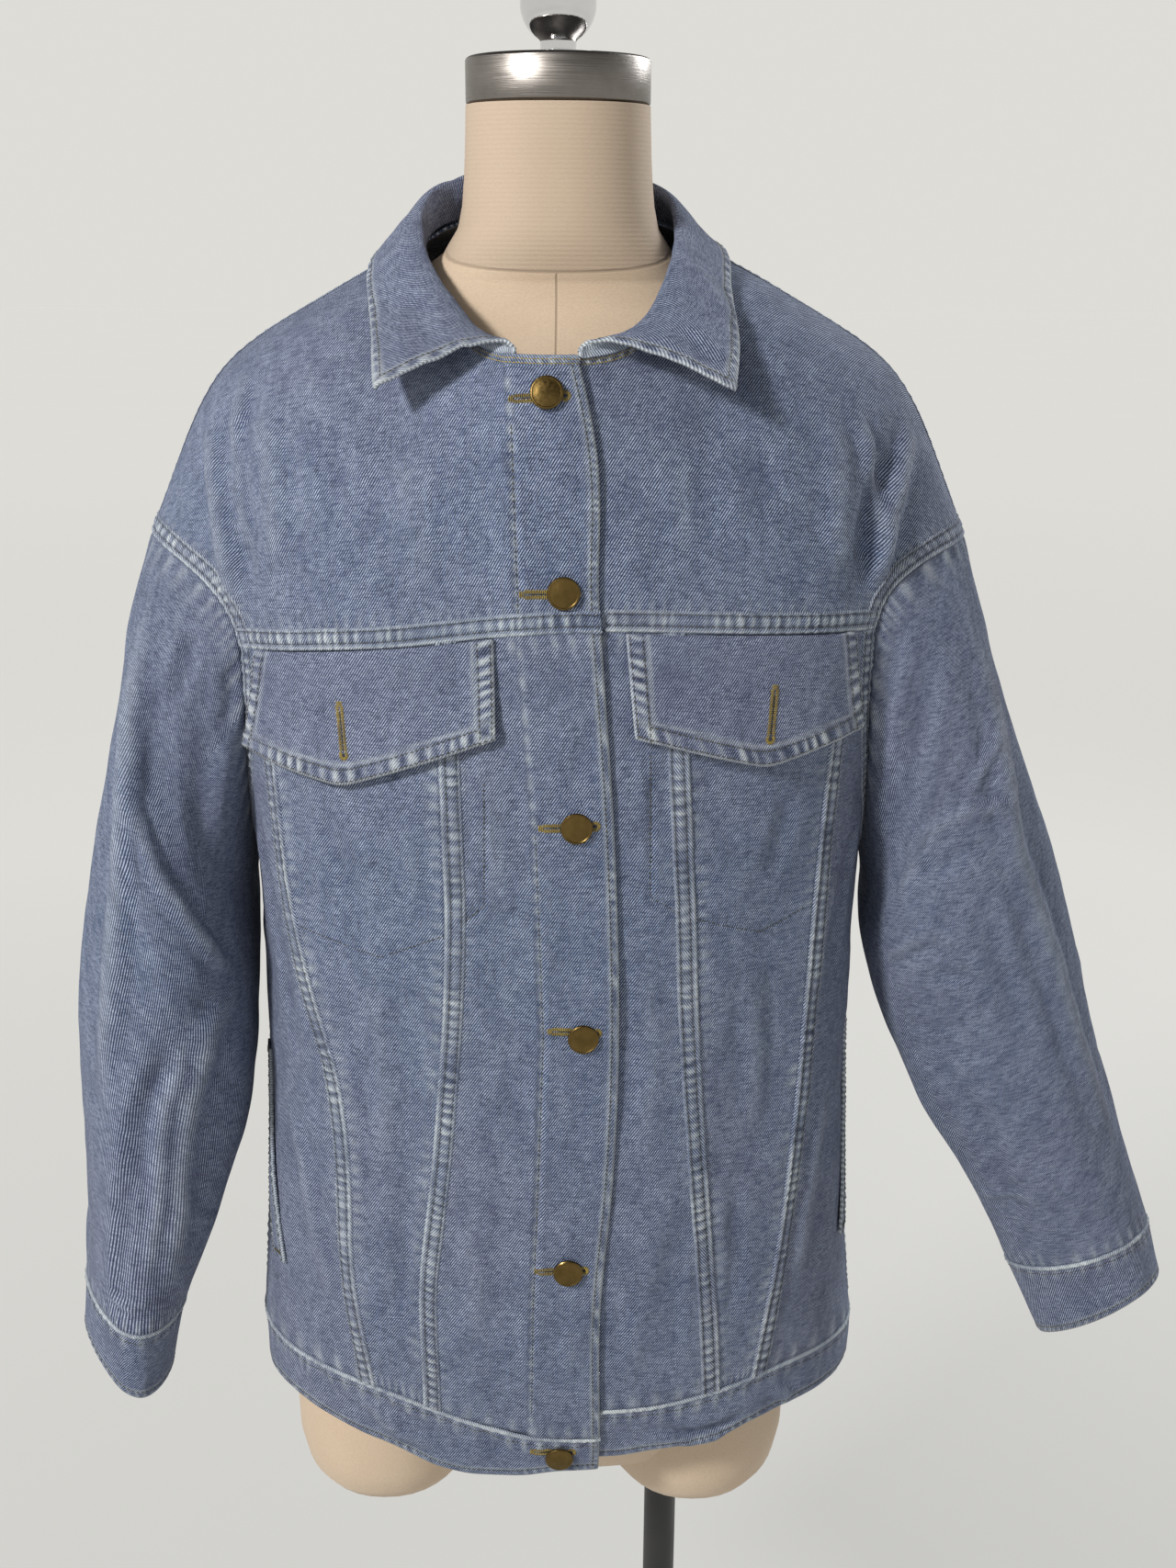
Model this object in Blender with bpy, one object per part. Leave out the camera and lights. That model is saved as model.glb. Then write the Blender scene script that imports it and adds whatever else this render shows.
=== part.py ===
# A denim jacket hanging on a limbless dress form, at real size in metres.
# +Z is up, the jacket's front faces -Y, and the wearer's left is +X.
# The origin is the middle of the stand's foot, on the floor.
#
# The cloth is worked out from four surfaces: the body below the yokes, the yokes over the shoulders,
# the sleeves and the collar. Each cut piece is a part of one of them between its seams, given a wall.

import math
from bisect import bisect_right

import bmesh
import bpy
import numpy as np
from mathutils import Vector
from mathutils.bvhtree import BVHTree

RIGHT = -1  # the wearer's right, at -X
LEFT = 1

# Cloth
WALL = 0.0015  # one layer of denim with its felled edges
SEAM_GAP = 0.0003
FACING = 0.0008  # a folded edge is this much thicker
BAND_WALL = 0.0022  # hem band, cuffs, flaps and collar are two layers
LAP_GAP = 0.0006  # between the right front and the left one below it
LAID_ON = 0.0006  # flaps and welts lie this far off their panel

# Body of the jacket: plan sections, as superellipses about the form's axis
BODY_POWER = 2.3
BODY_SECTIONS = (
    # height, half width, front depth, back depth
    (0.660, 0.1935, 0.1240, 0.1230),
    (0.690, 0.1960, 0.1285, 0.1270),
    (0.720, 0.1965, 0.1322, 0.1308),
    (0.760, 0.1940, 0.1348, 0.1342),
    (0.800, 0.1905, 0.1360, 0.1360),
    (0.920, 0.1840, 0.1360, 0.1360),
    (1.040, 0.1835, 0.1360, 0.1350),
    (1.120, 0.1895, 0.1345, 0.1365),
    (1.240, 0.2030, 0.1290, 0.1400),
)
BODY_FOLDS = (
    # angle, top, bottom, half width in degrees, depth (+ stands out), lean in degrees
    (-80, 1.08, 0.72, 10, -0.0030, 6),
    (-58, 1.14, 0.78, 10, 0.0030, -6),
    (-33, 1.02, 0.70, 9, -0.0030, 4),
    (24, 1.00, 0.72, 10, 0.0025, 3),
    (47, 1.12, 0.80, 9, -0.0035, 4),
    (66, 1.10, 0.72, 8, 0.0030, -3),
    (81, 1.02, 0.70, 10, -0.0035, 2),
    (91, 1.06, 0.66, 16, -0.0040, 0),
    (113, 1.10, 0.72, 11, 0.0035, 5),
    (128, 1.16, 0.74, 9, -0.0055, 4),
    (150, 1.12, 0.72, 12, 0.0040, 0),
    (176, 1.14, 0.76, 10, -0.0040, -4),
    (206, 1.10, 0.72, 12, 0.0045, 3),
    (229, 1.16, 0.73, 9, -0.0055, -4),
    (252, 1.08, 0.72, 11, 0.0040, -5),
)

# Front opening: the wearer's right front laps over the left. Distances across the front.
FRONT_EDGE = (
    # height, free edge, facing's stitch line, button line
    (0.660, 0.0280, -0.0150, 0.0020),
    (0.720, 0.0270, -0.0140, 0.0035),
    (0.798, 0.0265, -0.0125, 0.0065),
    (0.872, 0.0330, -0.0095, 0.0110),
    (0.972, 0.0360, -0.0060, 0.0160),
    (1.096, 0.0320, -0.0100, 0.0120),
    (1.205, 0.0240, -0.0180, 0.0050),
    (1.310, 0.0180, -0.0220, -0.0010),
    (1.337, 0.0110, -0.0240, -0.0030),
)
LAP_RAMP = 0.018  # the right front rises over the left one in this width
UNDERLAP_INSET = 0.004  # the left front ends this far short of the stitch line

# Vertical seams of the fronts: distance from the middle
FRONT_SEAMS = (
    # height, right inner, right outer, left inner, left outer
    (0.690, 0.0800, 0.1080, 0.1000, 0.1180),
    (0.736, 0.0790, 0.1120, 0.0990, 0.1210),
    (0.800, 0.0820, 0.1220, 0.0945, 0.1315),
    (0.860, 0.0735, 0.1205, 0.0890, 0.1380),
    (0.930, 0.0660, 0.1245, 0.0830, 0.1425),
    (0.970, 0.0620, 0.1350, 0.0800, 0.1445),
    (1.035, 0.0590, 0.1480, 0.0770, 0.1470),
    (1.110, 0.0600, 0.1560, 0.0720, 0.1510),
    (1.200, 0.0610, 0.1610, 0.0670, 0.1570),
)
BACK_SEAM = (
    # height, angle from the middle of the back
    (0.690, 22),
    (0.900, 27),
    (1.215, 38),
)

# Yokes, neck and shoulders
YOKE_SEAM = (
    # angle, height
    (-70, 1.177),
    (-40, 1.189),
    (0, 1.201),
    (40, 1.198),
    (70, 1.190),
)
BACK_YOKE_HEIGHT = 1.215
ARM_ANGLE = 68  # where the yoke seams meet the armhole, from the front and from the back
UNDERARM = 1.040
NECK_SHARE = 0.46  # the part of a yoke's width that ends at the neckline
NECK_HALF_WIDTH = 0.074
NECK_CENTRE_Y = 0.005
NECK_FRONT = 0.110
NECK_BACK = 0.057
NECK_SIDE_ANGLE = 100  # where the shoulder seam leaves the neckline
NECK_HEIGHTS = (
    # angle from the front, height
    (-30, 1.338),
    (0, 1.335),
    (30, 1.338),
    (60, 1.362),
    (100, 1.392),
    (140, 1.404),
    (180, 1.407),
)
SHOULDER_SEAM = (
    # x, y, height from the neck to the sleeve
    (0.0729, 0.0149, 1.3920),
    (0.1050, 0.0180, 1.3775),
    (0.1390, 0.0190, 1.3580),
    (0.1680, 0.0170, 1.3420),
    (0.1900, 0.0120, 1.3270),
    (0.2050, 0.0070, 1.3040),
    (0.2150, 0.0030, 1.2800),
    (0.2260, 0.0000, 1.2540),
    (0.2350, -0.0020, 1.2320),
)
YOKE_FULLNESS = 1.12  # length of the yokes' end tangents, against the straight distance
NECK_RISE = {
    # slope up to the neckline, in the middle and at its side
    "front": (0.95, 0.42),
    "back": (0.78, -0.10),
}
NECK_SLANT = 0.36  # slope in towards the side of the neckline
CORNER_SHARE = 0.16  # past the neckline, both slopes end in this share of a yoke's width
YOKE_FOLDS = (
    # face, side, across at the bottom, across at the top, half width, depth
    ("front", RIGHT, 0.90, 0.82, 0.09, -0.0065),
    ("front", RIGHT, 0.72, 0.66, 0.10, 0.0030),
    ("front", LEFT, 0.91, 0.84, 0.08, -0.0060),
    ("front", LEFT, 0.74, 0.70, 0.10, 0.0030),
    ("back", RIGHT, 0.88, 0.80, 0.09, -0.0060),
    ("back", RIGHT, 0.55, 0.60, 0.12, 0.0025),
    ("back", LEFT, 0.87, 0.80, 0.09, -0.0060),
    ("back", LEFT, 0.52, 0.60, 0.12, 0.0025),
)

# Hem band: its end under the right front, round the left side and the back, to the end on top
HEM_BAND = (
    # angle, top, bottom
    (-10, 0.719, 0.680),
    (14, 0.719, 0.681),
    (26, 0.720, 0.685),
    (40, 0.726, 0.688),
    (55, 0.732, 0.698),
    (70, 0.726, 0.694),
    (90, 0.713, 0.681),
    (135, 0.710, 0.672),
    (180, 0.709, 0.669),
    (225, 0.711, 0.672),
    (270, 0.718, 0.681),
    (290, 0.725, 0.689),
    (310, 0.726, 0.685),
    (325, 0.719, 0.672),
    (335, 0.710, 0.664),
    (348, 0.703, 0.668),
    (360, 0.700, 0.673),
    (374, 0.700, 0.674),
)
BAND_PROUD = 0.0004

# Sleeves: rings from the armhole to the seam of the cuff and the cuff's edge. The side that points
# away from the body is outer, the side that faces it is inner.
SLEEVE_RINGS = {
    RIGHT: (
        # outer x, outer height, inner x, inner height, centre y, half depth,
        # the front's rise and its shift towards the body, power
        (0.2460, 1.195, 0.1875, 1.012, -0.006, 0.078, 0.000, 0.000, 2.10),
        (0.2520, 1.155, 0.1860, 0.985, -0.016, 0.079, 0.000, 0.000, 2.10),
        (0.2600, 1.115, 0.1850, 0.955, -0.026, 0.077, 0.000, 0.000, 2.00),
        (0.2710, 1.068, 0.1860, 0.922, -0.033, 0.073, 0.000, 0.000, 1.90),
        (0.2810, 1.018, 0.1890, 0.890, -0.037, 0.069, 0.000, 0.000, 1.80),
        (0.2900, 0.968, 0.1960, 0.858, -0.040, 0.064, 0.000, 0.000, 1.80),
        (0.2945, 0.908, 0.2060, 0.828, -0.043, 0.059, -0.002, 0.002, 1.70),
        (0.2955, 0.840, 0.2190, 0.790, -0.045, 0.055, -0.004, 0.005, 1.60),
        (0.3030, 0.759, 0.2400, 0.742, -0.046, 0.050, -0.008, 0.010, 1.55),
        (0.3080, 0.719, 0.2510, 0.694, -0.046, 0.048, -0.011, 0.014, 1.50),
    ),
    LEFT: (
        (0.2450, 1.195, 0.1875, 1.018, -0.004, 0.078, 0.000, 0.000, 2.10),
        (0.2605, 1.147, 0.1865, 0.994, -0.010, 0.079, 0.000, 0.000, 2.10),
        (0.2790, 1.098, 0.1890, 0.972, -0.015, 0.077, 0.000, 0.000, 2.00),
        (0.3000, 1.041, 0.1990, 0.940, -0.019, 0.073, 0.000, 0.000, 2.00),
        (0.3175, 0.981, 0.2180, 0.897, -0.022, 0.069, 0.000, 0.000, 2.00),
        (0.3340, 0.926, 0.2400, 0.856, -0.025, 0.065, 0.000, 0.000, 1.90),
        (0.3515, 0.871, 0.2580, 0.828, -0.027, 0.061, 0.004, 0.000, 1.90),
        (0.3650, 0.833, 0.2740, 0.800, -0.029, 0.057, 0.010, 0.000, 1.90),
        (0.3770, 0.797, 0.2930, 0.760, -0.031, 0.053, 0.018, 0.000, 1.90),
        (0.3885, 0.757, 0.3185, 0.706, -0.032, 0.049, 0.026, 0.000, 1.90),
    ),
}
SLEEVE_FOLDS = {
    RIGHT: (
        # ring, angle, half length in rings, half width in degrees, depth, turn in degrees a ring
        (1.6, 95, 1.6, 26, -0.0070, 18),
        (2.6, 60, 1.6, 22, 0.0050, 16),
        (4.0, 80, 1.3, 30, -0.0055, -30),
        (4.8, 130, 1.2, 30, 0.0050, -24),
        (6.6, 60, 1.4, 24, -0.0035, 22),
        (7.4, 120, 1.0, 30, 0.0035, 20),
        (2.0, 250, 1.6, 28, -0.0070, -18),
        (4.4, 285, 1.4, 30, -0.0050, 24),
        (6.2, 240, 1.4, 30, 0.0045, -24),
    ),
    LEFT: (
        (1.6, 98, 1.5, 26, -0.0070, 16),
        (3.0, 65, 1.6, 24, 0.0050, 18),
        (4.4, 120, 1.0, 28, -0.0060, 34),
        (5.2, 150, 1.0, 28, 0.0055, 34),
        (6.0, 130, 0.9, 26, -0.0055, 30),
        (7.5, 90, 0.9, 34, 0.0035, 30),
        (2.0, 252, 1.6, 28, -0.0070, -16),
        (4.2, 235, 1.2, 28, -0.0050, -28),
        (6.4, 280, 1.4, 30, 0.0045, 22),
    ),
}

# Collar: from its end at the front to the middle of the back
COLLAR_END_ANGLE = {RIGHT: 15, LEFT: 9}
COLLAR_ROLL = (
    # share of the way to the back, height of the roll over the neckline, its plan size against the neckline
    (0.00, 0.0070, 0.985),
    (0.20, 0.0100, 0.945),
    (0.42, 0.0165, 0.925),
    (0.60, 0.0200, 0.915),
    (0.80, 0.0220, 0.905),
    (1.00, 0.0230, 0.915),
)
COLLAR_EDGE = (
    # share, x, y, height of the outer edge
    (0.00, 0.0920, -0.1120, 1.322),
    (0.14, 0.0955, -0.0850, 1.338),
    (0.32, 0.0985, -0.0400, 1.362),
    (0.52, 0.0985, 0.0150, 1.380),
    (0.70, 0.0850, 0.0600, 1.384),
    (0.86, 0.0500, 0.0860, 1.384),
    (1.00, 0.0000, 0.0940, 1.384),
)
COLLAR_SECTION = (
    # share from roll to edge, rise over the straight line
    (0.04, 0.0038),
    (0.16, 0.0070),
    (0.38, 0.0085),
    (0.68, 0.0055),
    (1.00, 0.0000),
)
COLLAR_SHIFT = -0.0060  # its back and sides sit this far to the wearer's left
COLLAR_LIFT = 0.0010  # its foot stands this far over the neckline
COLLAR_CLEARANCE = 0.0028

# Pocket flaps: x from the middle, heights; the top edge follows the yoke seam
FLAPS = {
    # inner top, outer top, inner bottom x and height, tip x and height, outer bottom x and height
    RIGHT: (0.031, 0.163, 0.030, 1.144, 0.113, 1.112, 0.173, 1.120),
    LEFT: (0.037, 0.162, 0.042, 1.145, 0.112, 1.124, 0.168, 1.136),
}
FLAP_UNDER_SEAM = 0.0015
FLAP_LIFT = 0.0030  # how far its lower edge stands off the pocket

# Welts of the side pockets
WELTS = {
    # angle and height at the top, angle and height at the foot
    RIGHT: (79, 0.912, 66, 0.785),
    LEFT: (79, 0.936, 70, 0.800),
}
WELT_WIDTH = 0.015

# Buttons
YOKE_SPREAD = 0.13  # x of a yoke's point over its share across, near the middle
BUTTON_HEIGHTS = (1.3185, 1.2210, 1.0960, 0.9730, 0.8230, 0.6870)
BUTTON_PROFILE = (
    # radius, height over the cloth
    (0.0000, 0.0000),
    (0.0042, 0.0000),
    (0.0042, 0.0010),
    (0.0082, 0.0014),
    (0.0086, 0.0023),
    (0.0074, 0.0031),
    (0.0000, 0.0036),
)

# Dress form and its stand
FORM_POWER = 2.25
FORM_LEAN = (
    # height, centre x
    (0.580, -0.0120),
    (0.700, -0.0110),
    (1.000, -0.0040),
    (1.200, 0.0000),
    (1.300, 0.0000),
    (1.500, 0.0000),
)
FORM_SECTIONS = (
    # height, centre y, half width, front depth, back depth
    (0.6240, 0.002, 0.1100, 0.0400, 0.0400),
    (0.6300, 0.002, 0.1500, 0.0720, 0.0740),
    (0.6420, 0.002, 0.1660, 0.0900, 0.0920),
    (0.6600, 0.002, 0.1720, 0.0990, 0.1020),
    (0.7200, 0.003, 0.1740, 0.1040, 0.1100),
    (0.7900, 0.003, 0.1680, 0.1020, 0.1060),
    (0.8700, 0.002, 0.1480, 0.0960, 0.0960),
    (0.9500, 0.001, 0.1290, 0.0900, 0.0850),
    (1.0200, 0.000, 0.1330, 0.0940, 0.0860),
    (1.1000, 0.000, 0.1510, 0.1060, 0.0970),
    (1.1800, 0.000, 0.1650, 0.1140, 0.1060),
    (1.2400, 0.001, 0.1770, 0.1080, 0.1100),
    (1.2800, 0.003, 0.1850, 0.1010, 0.1060),
    (1.3050, 0.006, 0.1810, 0.0930, 0.0980),
    (1.3250, 0.010, 0.1730, 0.0840, 0.0870),
    (1.3420, 0.014, 0.1530, 0.0730, 0.0760),
    (1.3560, 0.016, 0.1270, 0.0650, 0.0660),
    (1.3700, 0.014, 0.0866, 0.0593, 0.0600),
    (1.3850, 0.007, 0.0641, 0.0585, 0.0560),
    (1.4000, 0.003, 0.0550, 0.0550, 0.0530),
    (1.4250, 0.001, 0.0515, 0.0515, 0.0510),
    (1.4609, 0.000, 0.0500, 0.0500, 0.0500),
)
STUB_CENTRE = 0.1005
STUB_SECTIONS = (
    # height, half width, half depth
    (0.6020, 0.0320, 0.0550),
    (0.6040, 0.0435, 0.0690),
    (0.6100, 0.0545, 0.0810),
    (0.6200, 0.0610, 0.0885),
    (0.6350, 0.0640, 0.0920),
    (0.6550, 0.0644, 0.0925),
    (0.6900, 0.0610, 0.0890),
)
CAP_RADIUS = 0.0500
CAP_BOTTOM = 1.4612
CAP_TOP = 1.4850
KNOB_RADIUS = 0.0205
KNOB_CENTRE = 1.5118
SHANK_RADIUS = 0.0100
POLE_X = 0.0715
POLE_RADIUS = 0.0110
POLE_TOP = 0.6017
FLANGE_RADIUS = 0.0380
FLANGE_HEIGHT = 0.0080
BASE_RADIUS = 0.1700
BASE_HEIGHT = 0.0140
BASE_EDGE = 0.0040

# Points along the pieces
LOWER_ROWS = 9  # from the hem band to the underarm
ARM_ROWS = (0.0, 0.07, 0.24, 0.48, 0.75, 1.0)  # from the underarm to the yoke seam, as shares
YOKE_ROWS = 8
SLEEVE_ROWS = 17
CUFF_ROWS = 3
STEP = 1e-4  # for slopes

DENIM = (0.225, 0.270, 0.420)
DENIM_DARK = (0.190, 0.235, 0.385)


def unit(vector):
    return vector / np.linalg.norm(vector, axis=-1, keepdims=True)


def ease(share):
    """Goes smoothly from 0 to 1."""
    share = min(max(share, 0.0), 1.0)
    return share * share * (3 - 2 * share)


def bump(share):
    """Smooth hump: 1 at 0, and 0 from 1 on."""
    return (1 - share * share) ** 2 if abs(share) < 1 else 0.0


def smooth(table, key):
    """Smooth curve through a table whose first column rises: gives the other columns at the key."""
    rows = np.asarray(table, dtype=float)
    keys, values = rows[:, 0], rows[:, 1:]
    key = min(max(key, keys[0]), keys[-1])
    low = min(max(bisect_right(keys.tolist(), key) - 1, 0), len(keys) - 2)
    slopes = []
    for index in (low, low + 1):
        before, after = max(index - 1, 0), min(index + 1, len(keys) - 1)
        slopes.append((values[after] - values[before]) / (keys[after] - keys[before]))
    span = keys[low + 1] - keys[low]
    return hermite(values[low], values[low + 1], slopes[0] * span, slopes[1] * span, (key - keys[low]) / span)


def hermite(start, end, start_slope, end_slope, share):
    square, cube = share**2, share**3
    return (
        start * (2 * cube - 3 * square + 1)
        + end * (3 * square - 2 * cube)
        + start_slope * (cube - 2 * square + share)
        + end_slope * (cube - square)
    )


def path_table(points):
    """Adds the share of the length as a first column to a list of points."""
    points = np.asarray(points, dtype=float)
    lengths = np.concatenate(([0.0], np.cumsum(np.linalg.norm(np.diff(points, axis=0), axis=1))))
    return np.column_stack((lengths / lengths[-1], points))


def outward(surface, first, second, centre):
    """Unit normal of surface(first, second), on the side away from the centre."""
    along = surface(first + STEP, second) - surface(first - STEP, second)
    across = surface(first, second + STEP) - surface(first, second - STEP)
    normal = unit(np.cross(along, across))
    return normal if np.dot(normal, surface(first, second) - centre) > 0 else -normal


# The body of the jacket below the yokes. Angles are in degrees: 0 at the front, 90 at the left side.


def body_radius(angle, height):
    half_width, front, back = smooth(BODY_SECTIONS, height)
    side, ahead = math.sin(math.radians(angle)), math.cos(math.radians(angle))
    depth = front if ahead > 0 else back
    inverse = (abs(side) / half_width) ** BODY_POWER + (abs(ahead) / depth) ** BODY_POWER
    return inverse ** (-1 / BODY_POWER)


def body_fold(angle, height):
    total = 0.0
    for middle, top, bottom, half_width, depth, lean in BODY_FOLDS:
        share = (height - bottom) / (top - bottom)
        away = (angle - middle - lean * (share - 0.5) + 180) % 360 - 180
        total += depth * bump(away / half_width) * ease(share * 3) * ease((1 - share) * 3)
    return total


def body_point(angle, height):
    radius = body_radius(angle, height) + body_fold(angle, height)
    return np.array((radius * math.sin(math.radians(angle)), -radius * math.cos(math.radians(angle)), height))


def body_normal(angle, height):
    return outward(body_point_by_degree, angle / 60, height, np.array((0.0, 0.0, height)))


def body_point_by_degree(turn, height):
    """As body_point, with an angle in sixties of degrees, so that both steps are of like length."""
    return body_point(turn * 60, height)


def angle_across(x, height):
    """The angle of the front's point that lies x to the left of the middle."""
    half_width, front, _ = smooth(BODY_SECTIONS, height)
    ahead = front * (1 - min(abs(x) / half_width, 1) ** BODY_POWER) ** (1 / BODY_POWER)
    return math.degrees(math.atan2(x, ahead))


def hem_top(side, angle):
    """Height of the hem band's upper seam; the right front reaches past the middle on top of the left."""
    turn = angle + 360 if side == RIGHT else angle
    return smooth(HEM_BAND, turn)[0]


def yoke_seam_height(angle):
    if abs((angle + 180) % 360 - 180) > 90:
        return BACK_YOKE_HEIGHT
    return float(smooth(YOKE_SEAM, angle)[0])


def arm_angle(side, share, behind):
    """Angle of the armhole at a share of the way from the underarm to the yoke seam."""
    turn = (90 - ARM_ANGLE) * math.sin(math.pi / 2 * share) ** 0.7
    angle = 90 + turn if behind else 90 - turn
    return side * angle


def row_height(side, angle, row):
    """Height of a row of points: whole rows to the underarm, then shares of the armhole."""
    if row <= LOWER_ROWS:
        low = hem_top(side, angle)
        return low + (UNDERARM - low) * row / LOWER_ROWS
    return UNDERARM + (yoke_seam_height(angle) - UNDERARM) * (row - LOWER_ROWS)


BODY_ROWS = [*range(LOWER_ROWS), *(LOWER_ROWS + share for share in ARM_ROWS)]


def lap(side, point):
    """How far the outer and inner faces of a front lie off its surface."""
    x, height = point[0], point[2]
    if side == LEFT:
        return 0.0, -WALL
    stitch = smooth(FRONT_EDGE, height)[1]
    rise = ease((x - stitch + LAP_RAMP) / (LAP_RAMP - 0.002))
    inner = -WALL + (WALL + LAP_GAP) * rise
    return inner + WALL + FACING * ease((x - stitch) / 0.003 + 0.5), inner


# The yokes: from the yoke seam up to the neckline and the shoulder seam


def neckline(angle):
    """Point of the neckline, by its angle from the front."""
    side, ahead = math.sin(math.radians(angle)), math.cos(math.radians(angle))
    depth = NECK_FRONT if ahead > 0 else NECK_BACK
    height = smooth(NECK_HEIGHTS, abs(angle))[0]
    return np.array((NECK_HALF_WIDTH * side, NECK_CENTRE_Y - depth * ahead, height))


SHOULDER_PATH = path_table(SHOULDER_SEAM)


def yoke_top(face, across):
    """Upper edge of a yoke, from the middle at 0 to the sleeve at 1."""
    if across < NECK_SHARE:
        share = across / NECK_SHARE
        if face == "front":
            return neckline(NECK_SIDE_ANGLE * share)
        return neckline(180 - (180 - NECK_SIDE_ANGLE) * share)
    return smooth(SHOULDER_PATH, (across - NECK_SHARE) / (1 - NECK_SHARE))


def top_direction(face, side, across):
    """The way a yoke's columns arrive at its top: slanting in to the neck, or square over the shoulder."""
    share = abs(across) / NECK_SHARE
    past = ease((abs(across) - NECK_SHARE) / CORNER_SHARE)
    middle_rise, side_rise = NECK_RISE[face]
    rise = (middle_rise + (side_rise - middle_rise) * ease(share)) * (1 - past)
    inwards = NECK_SLANT * math.sin(min(share, 1) * math.pi / 2) * (1 - past)
    ahead = math.sqrt(1 - rise**2 - inwards**2)
    if face == "back":
        ahead = -ahead
    return np.array((-side * math.copysign(inwards, across), ahead, rise))


def yoke_bottom(face, side, across):
    """Lower edge of a yoke, on the body's surface, and the body's slope there."""
    angle = side * ARM_ANGLE * across if face == "front" else side * (180 - ARM_ANGLE * across)
    height = yoke_seam_height(angle)
    slope = (body_point(angle, height + STEP) - body_point(angle, height - STEP)) / (2 * STEP)
    return body_point(angle, height), slope


def yoke_point(face, side, across, rise):
    """Point of a yoke: across from the middle to the sleeve, rise from the yoke seam to the top."""
    low, low_slope = yoke_bottom(face, side, across)
    top = yoke_top(face, across) * (side, 1, 1)
    length = YOKE_FULLNESS * np.linalg.norm(top - low)
    point = hermite(low, top, low_slope * length, top_direction(face, side, across) * length, rise)
    fold = 0.0
    for fold_face, fold_side, start, end, half_width, depth in YOKE_FOLDS:
        if (fold_face, fold_side) == (face, side):
            away = (across - start - (end - start) * rise) / half_width
            fold += depth * bump(away) * ease(rise * 4) * ease((1 - rise) * 2.2)
    return point + unit(point - (0, 0, UNDERARM)) * fold


def yoke_normal(face, side, across, rise):
    def surface(first, second):
        return yoke_point(face, side, first, second)

    return outward(surface, across, rise, np.array((0.0, 0.0, UNDERARM)))


# The armhole: one closed row of points that the body and the sleeve share


def armhole(side):
    """The armhole's points and the body's normals there: down the front from the shoulder, up the back."""
    points, normals = [], []
    for face in ("front", "back"):
        ring = []
        for step in range(YOKE_ROWS, 0, -1):
            rise = step / YOKE_ROWS
            ring.append((yoke_point(face, side, 1, rise), yoke_normal(face, side, 1, rise)))
        for share in reversed(ARM_ROWS):
            angle = arm_angle(side, share, face == "back")
            height = row_height(side, angle, LOWER_ROWS + share)
            ring.append((body_point(angle, height), body_normal(angle, height)))
        if face == "back":
            ring = ring[-2:0:-1]
        points += [item[0] for item in ring]
        normals += [item[1] for item in ring]
    return np.array(points), np.array(normals)


FRONT_COUNT = YOKE_ROWS + len(ARM_ROWS)  # points from the shoulder to the underarm


def sleeve_rings(side, loop):
    """The armhole and the rings below it, each with the armhole's number of points."""
    closed = np.vstack((loop, loop[:1]))
    lengths = np.concatenate(([0.0], np.cumsum(np.linalg.norm(np.diff(closed, axis=0), axis=1))))
    under, whole = lengths[FRONT_COUNT - 1], lengths[-1]
    turns = [
        math.pi * (length / under if length <= under else 1 + (length - under) / (whole - under))
        for length in lengths[:-1]
    ]
    rings = [loop]
    centres = [loop.mean(axis=0)]
    for row in SLEEVE_RINGS[side]:
        outer_x, outer_z, inner_x, inner_z, centre_y, half_depth, front_rise, front_in, power = row
        middle = np.array((side * (outer_x + inner_x) / 2, centre_y, (outer_z + inner_z) / 2))
        reach = np.array((side * (outer_x - inner_x) / 2, 0.0, (outer_z - inner_z) / 2))
        ahead = np.array((-side * front_in, -half_depth, front_rise))
        ring = []
        for turn in turns:
            cosine, sine = math.cos(turn), math.sin(turn)
            scale = (abs(cosine) ** power + abs(sine) ** power) ** (-1 / power)
            ring.append(middle + (reach * cosine + ahead * sine) * scale)
        rings.append(np.array(ring))
        centres.append(middle)
    return np.array(rings), np.array(centres), np.degrees(turns)


class Sleeve:
    """One sleeve's surface: a number along its rings, and a number of a point round them."""

    def __init__(self, side):
        self.side = side
        self.loop, self.loop_normals = armhole(side)
        self.rings, self.centres, self.turns = sleeve_rings(side, self.loop)
        self.last_ring = len(self.rings) - 2  # the cuff's seam
        self.table = np.column_stack((np.arange(len(self.rings)), self.rings.reshape(len(self.rings), -1)))
        self.centre_table = np.column_stack((np.arange(len(self.rings)), self.centres))

    def ring(self, along):
        points = smooth(self.table, along).reshape(-1, 3)
        centre = smooth(self.centre_table, along)
        fade = ease(along / 1.2) * ease((self.last_ring - along) / 0.8)
        for middle, turn, half_length, half_width, depth, twist in SLEEVE_FOLDS[self.side]:
            for index, angle in enumerate(self.turns):
                away = (angle - turn - twist * (along - middle) + 180) % 360 - 180
                size = depth * fade * bump((along - middle) / half_length) * bump(away / half_width)
                points[index] += unit(points[index] - centre) * size
        return points, centre

    def normals(self, along):
        points, centre = self.ring(along)
        down = self.ring(min(along + 0.02, self.last_ring + 1))[0] - self.ring(max(along - 0.02, 0))[0]
        round_it = np.roll(points, -1, axis=0) - np.roll(points, 1, axis=0)
        normals = unit(np.cross(down, round_it))
        facing = np.sum(normals * (points - centre), axis=1, keepdims=True)
        return np.where(facing > 0, normals, -normals)


# Making the solids


def draw_back(grid, first_row=True, last_row=True, first_column=True, last_column=True):
    """Moves a grid's edges in by half of the seam's gap."""
    moved = grid.copy()
    half = SEAM_GAP / 2
    if first_row:
        moved[0] += half * unit(grid[1] - grid[0])
    if last_row:
        moved[-1] += half * unit(grid[-2] - grid[-1])
    if first_column:
        moved[:, 0] += half * unit(grid[:, 1] - grid[:, 0])
    if last_column:
        moved[:, -1] += half * unit(grid[:, -2] - grid[:, -1])
    return moved


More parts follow.
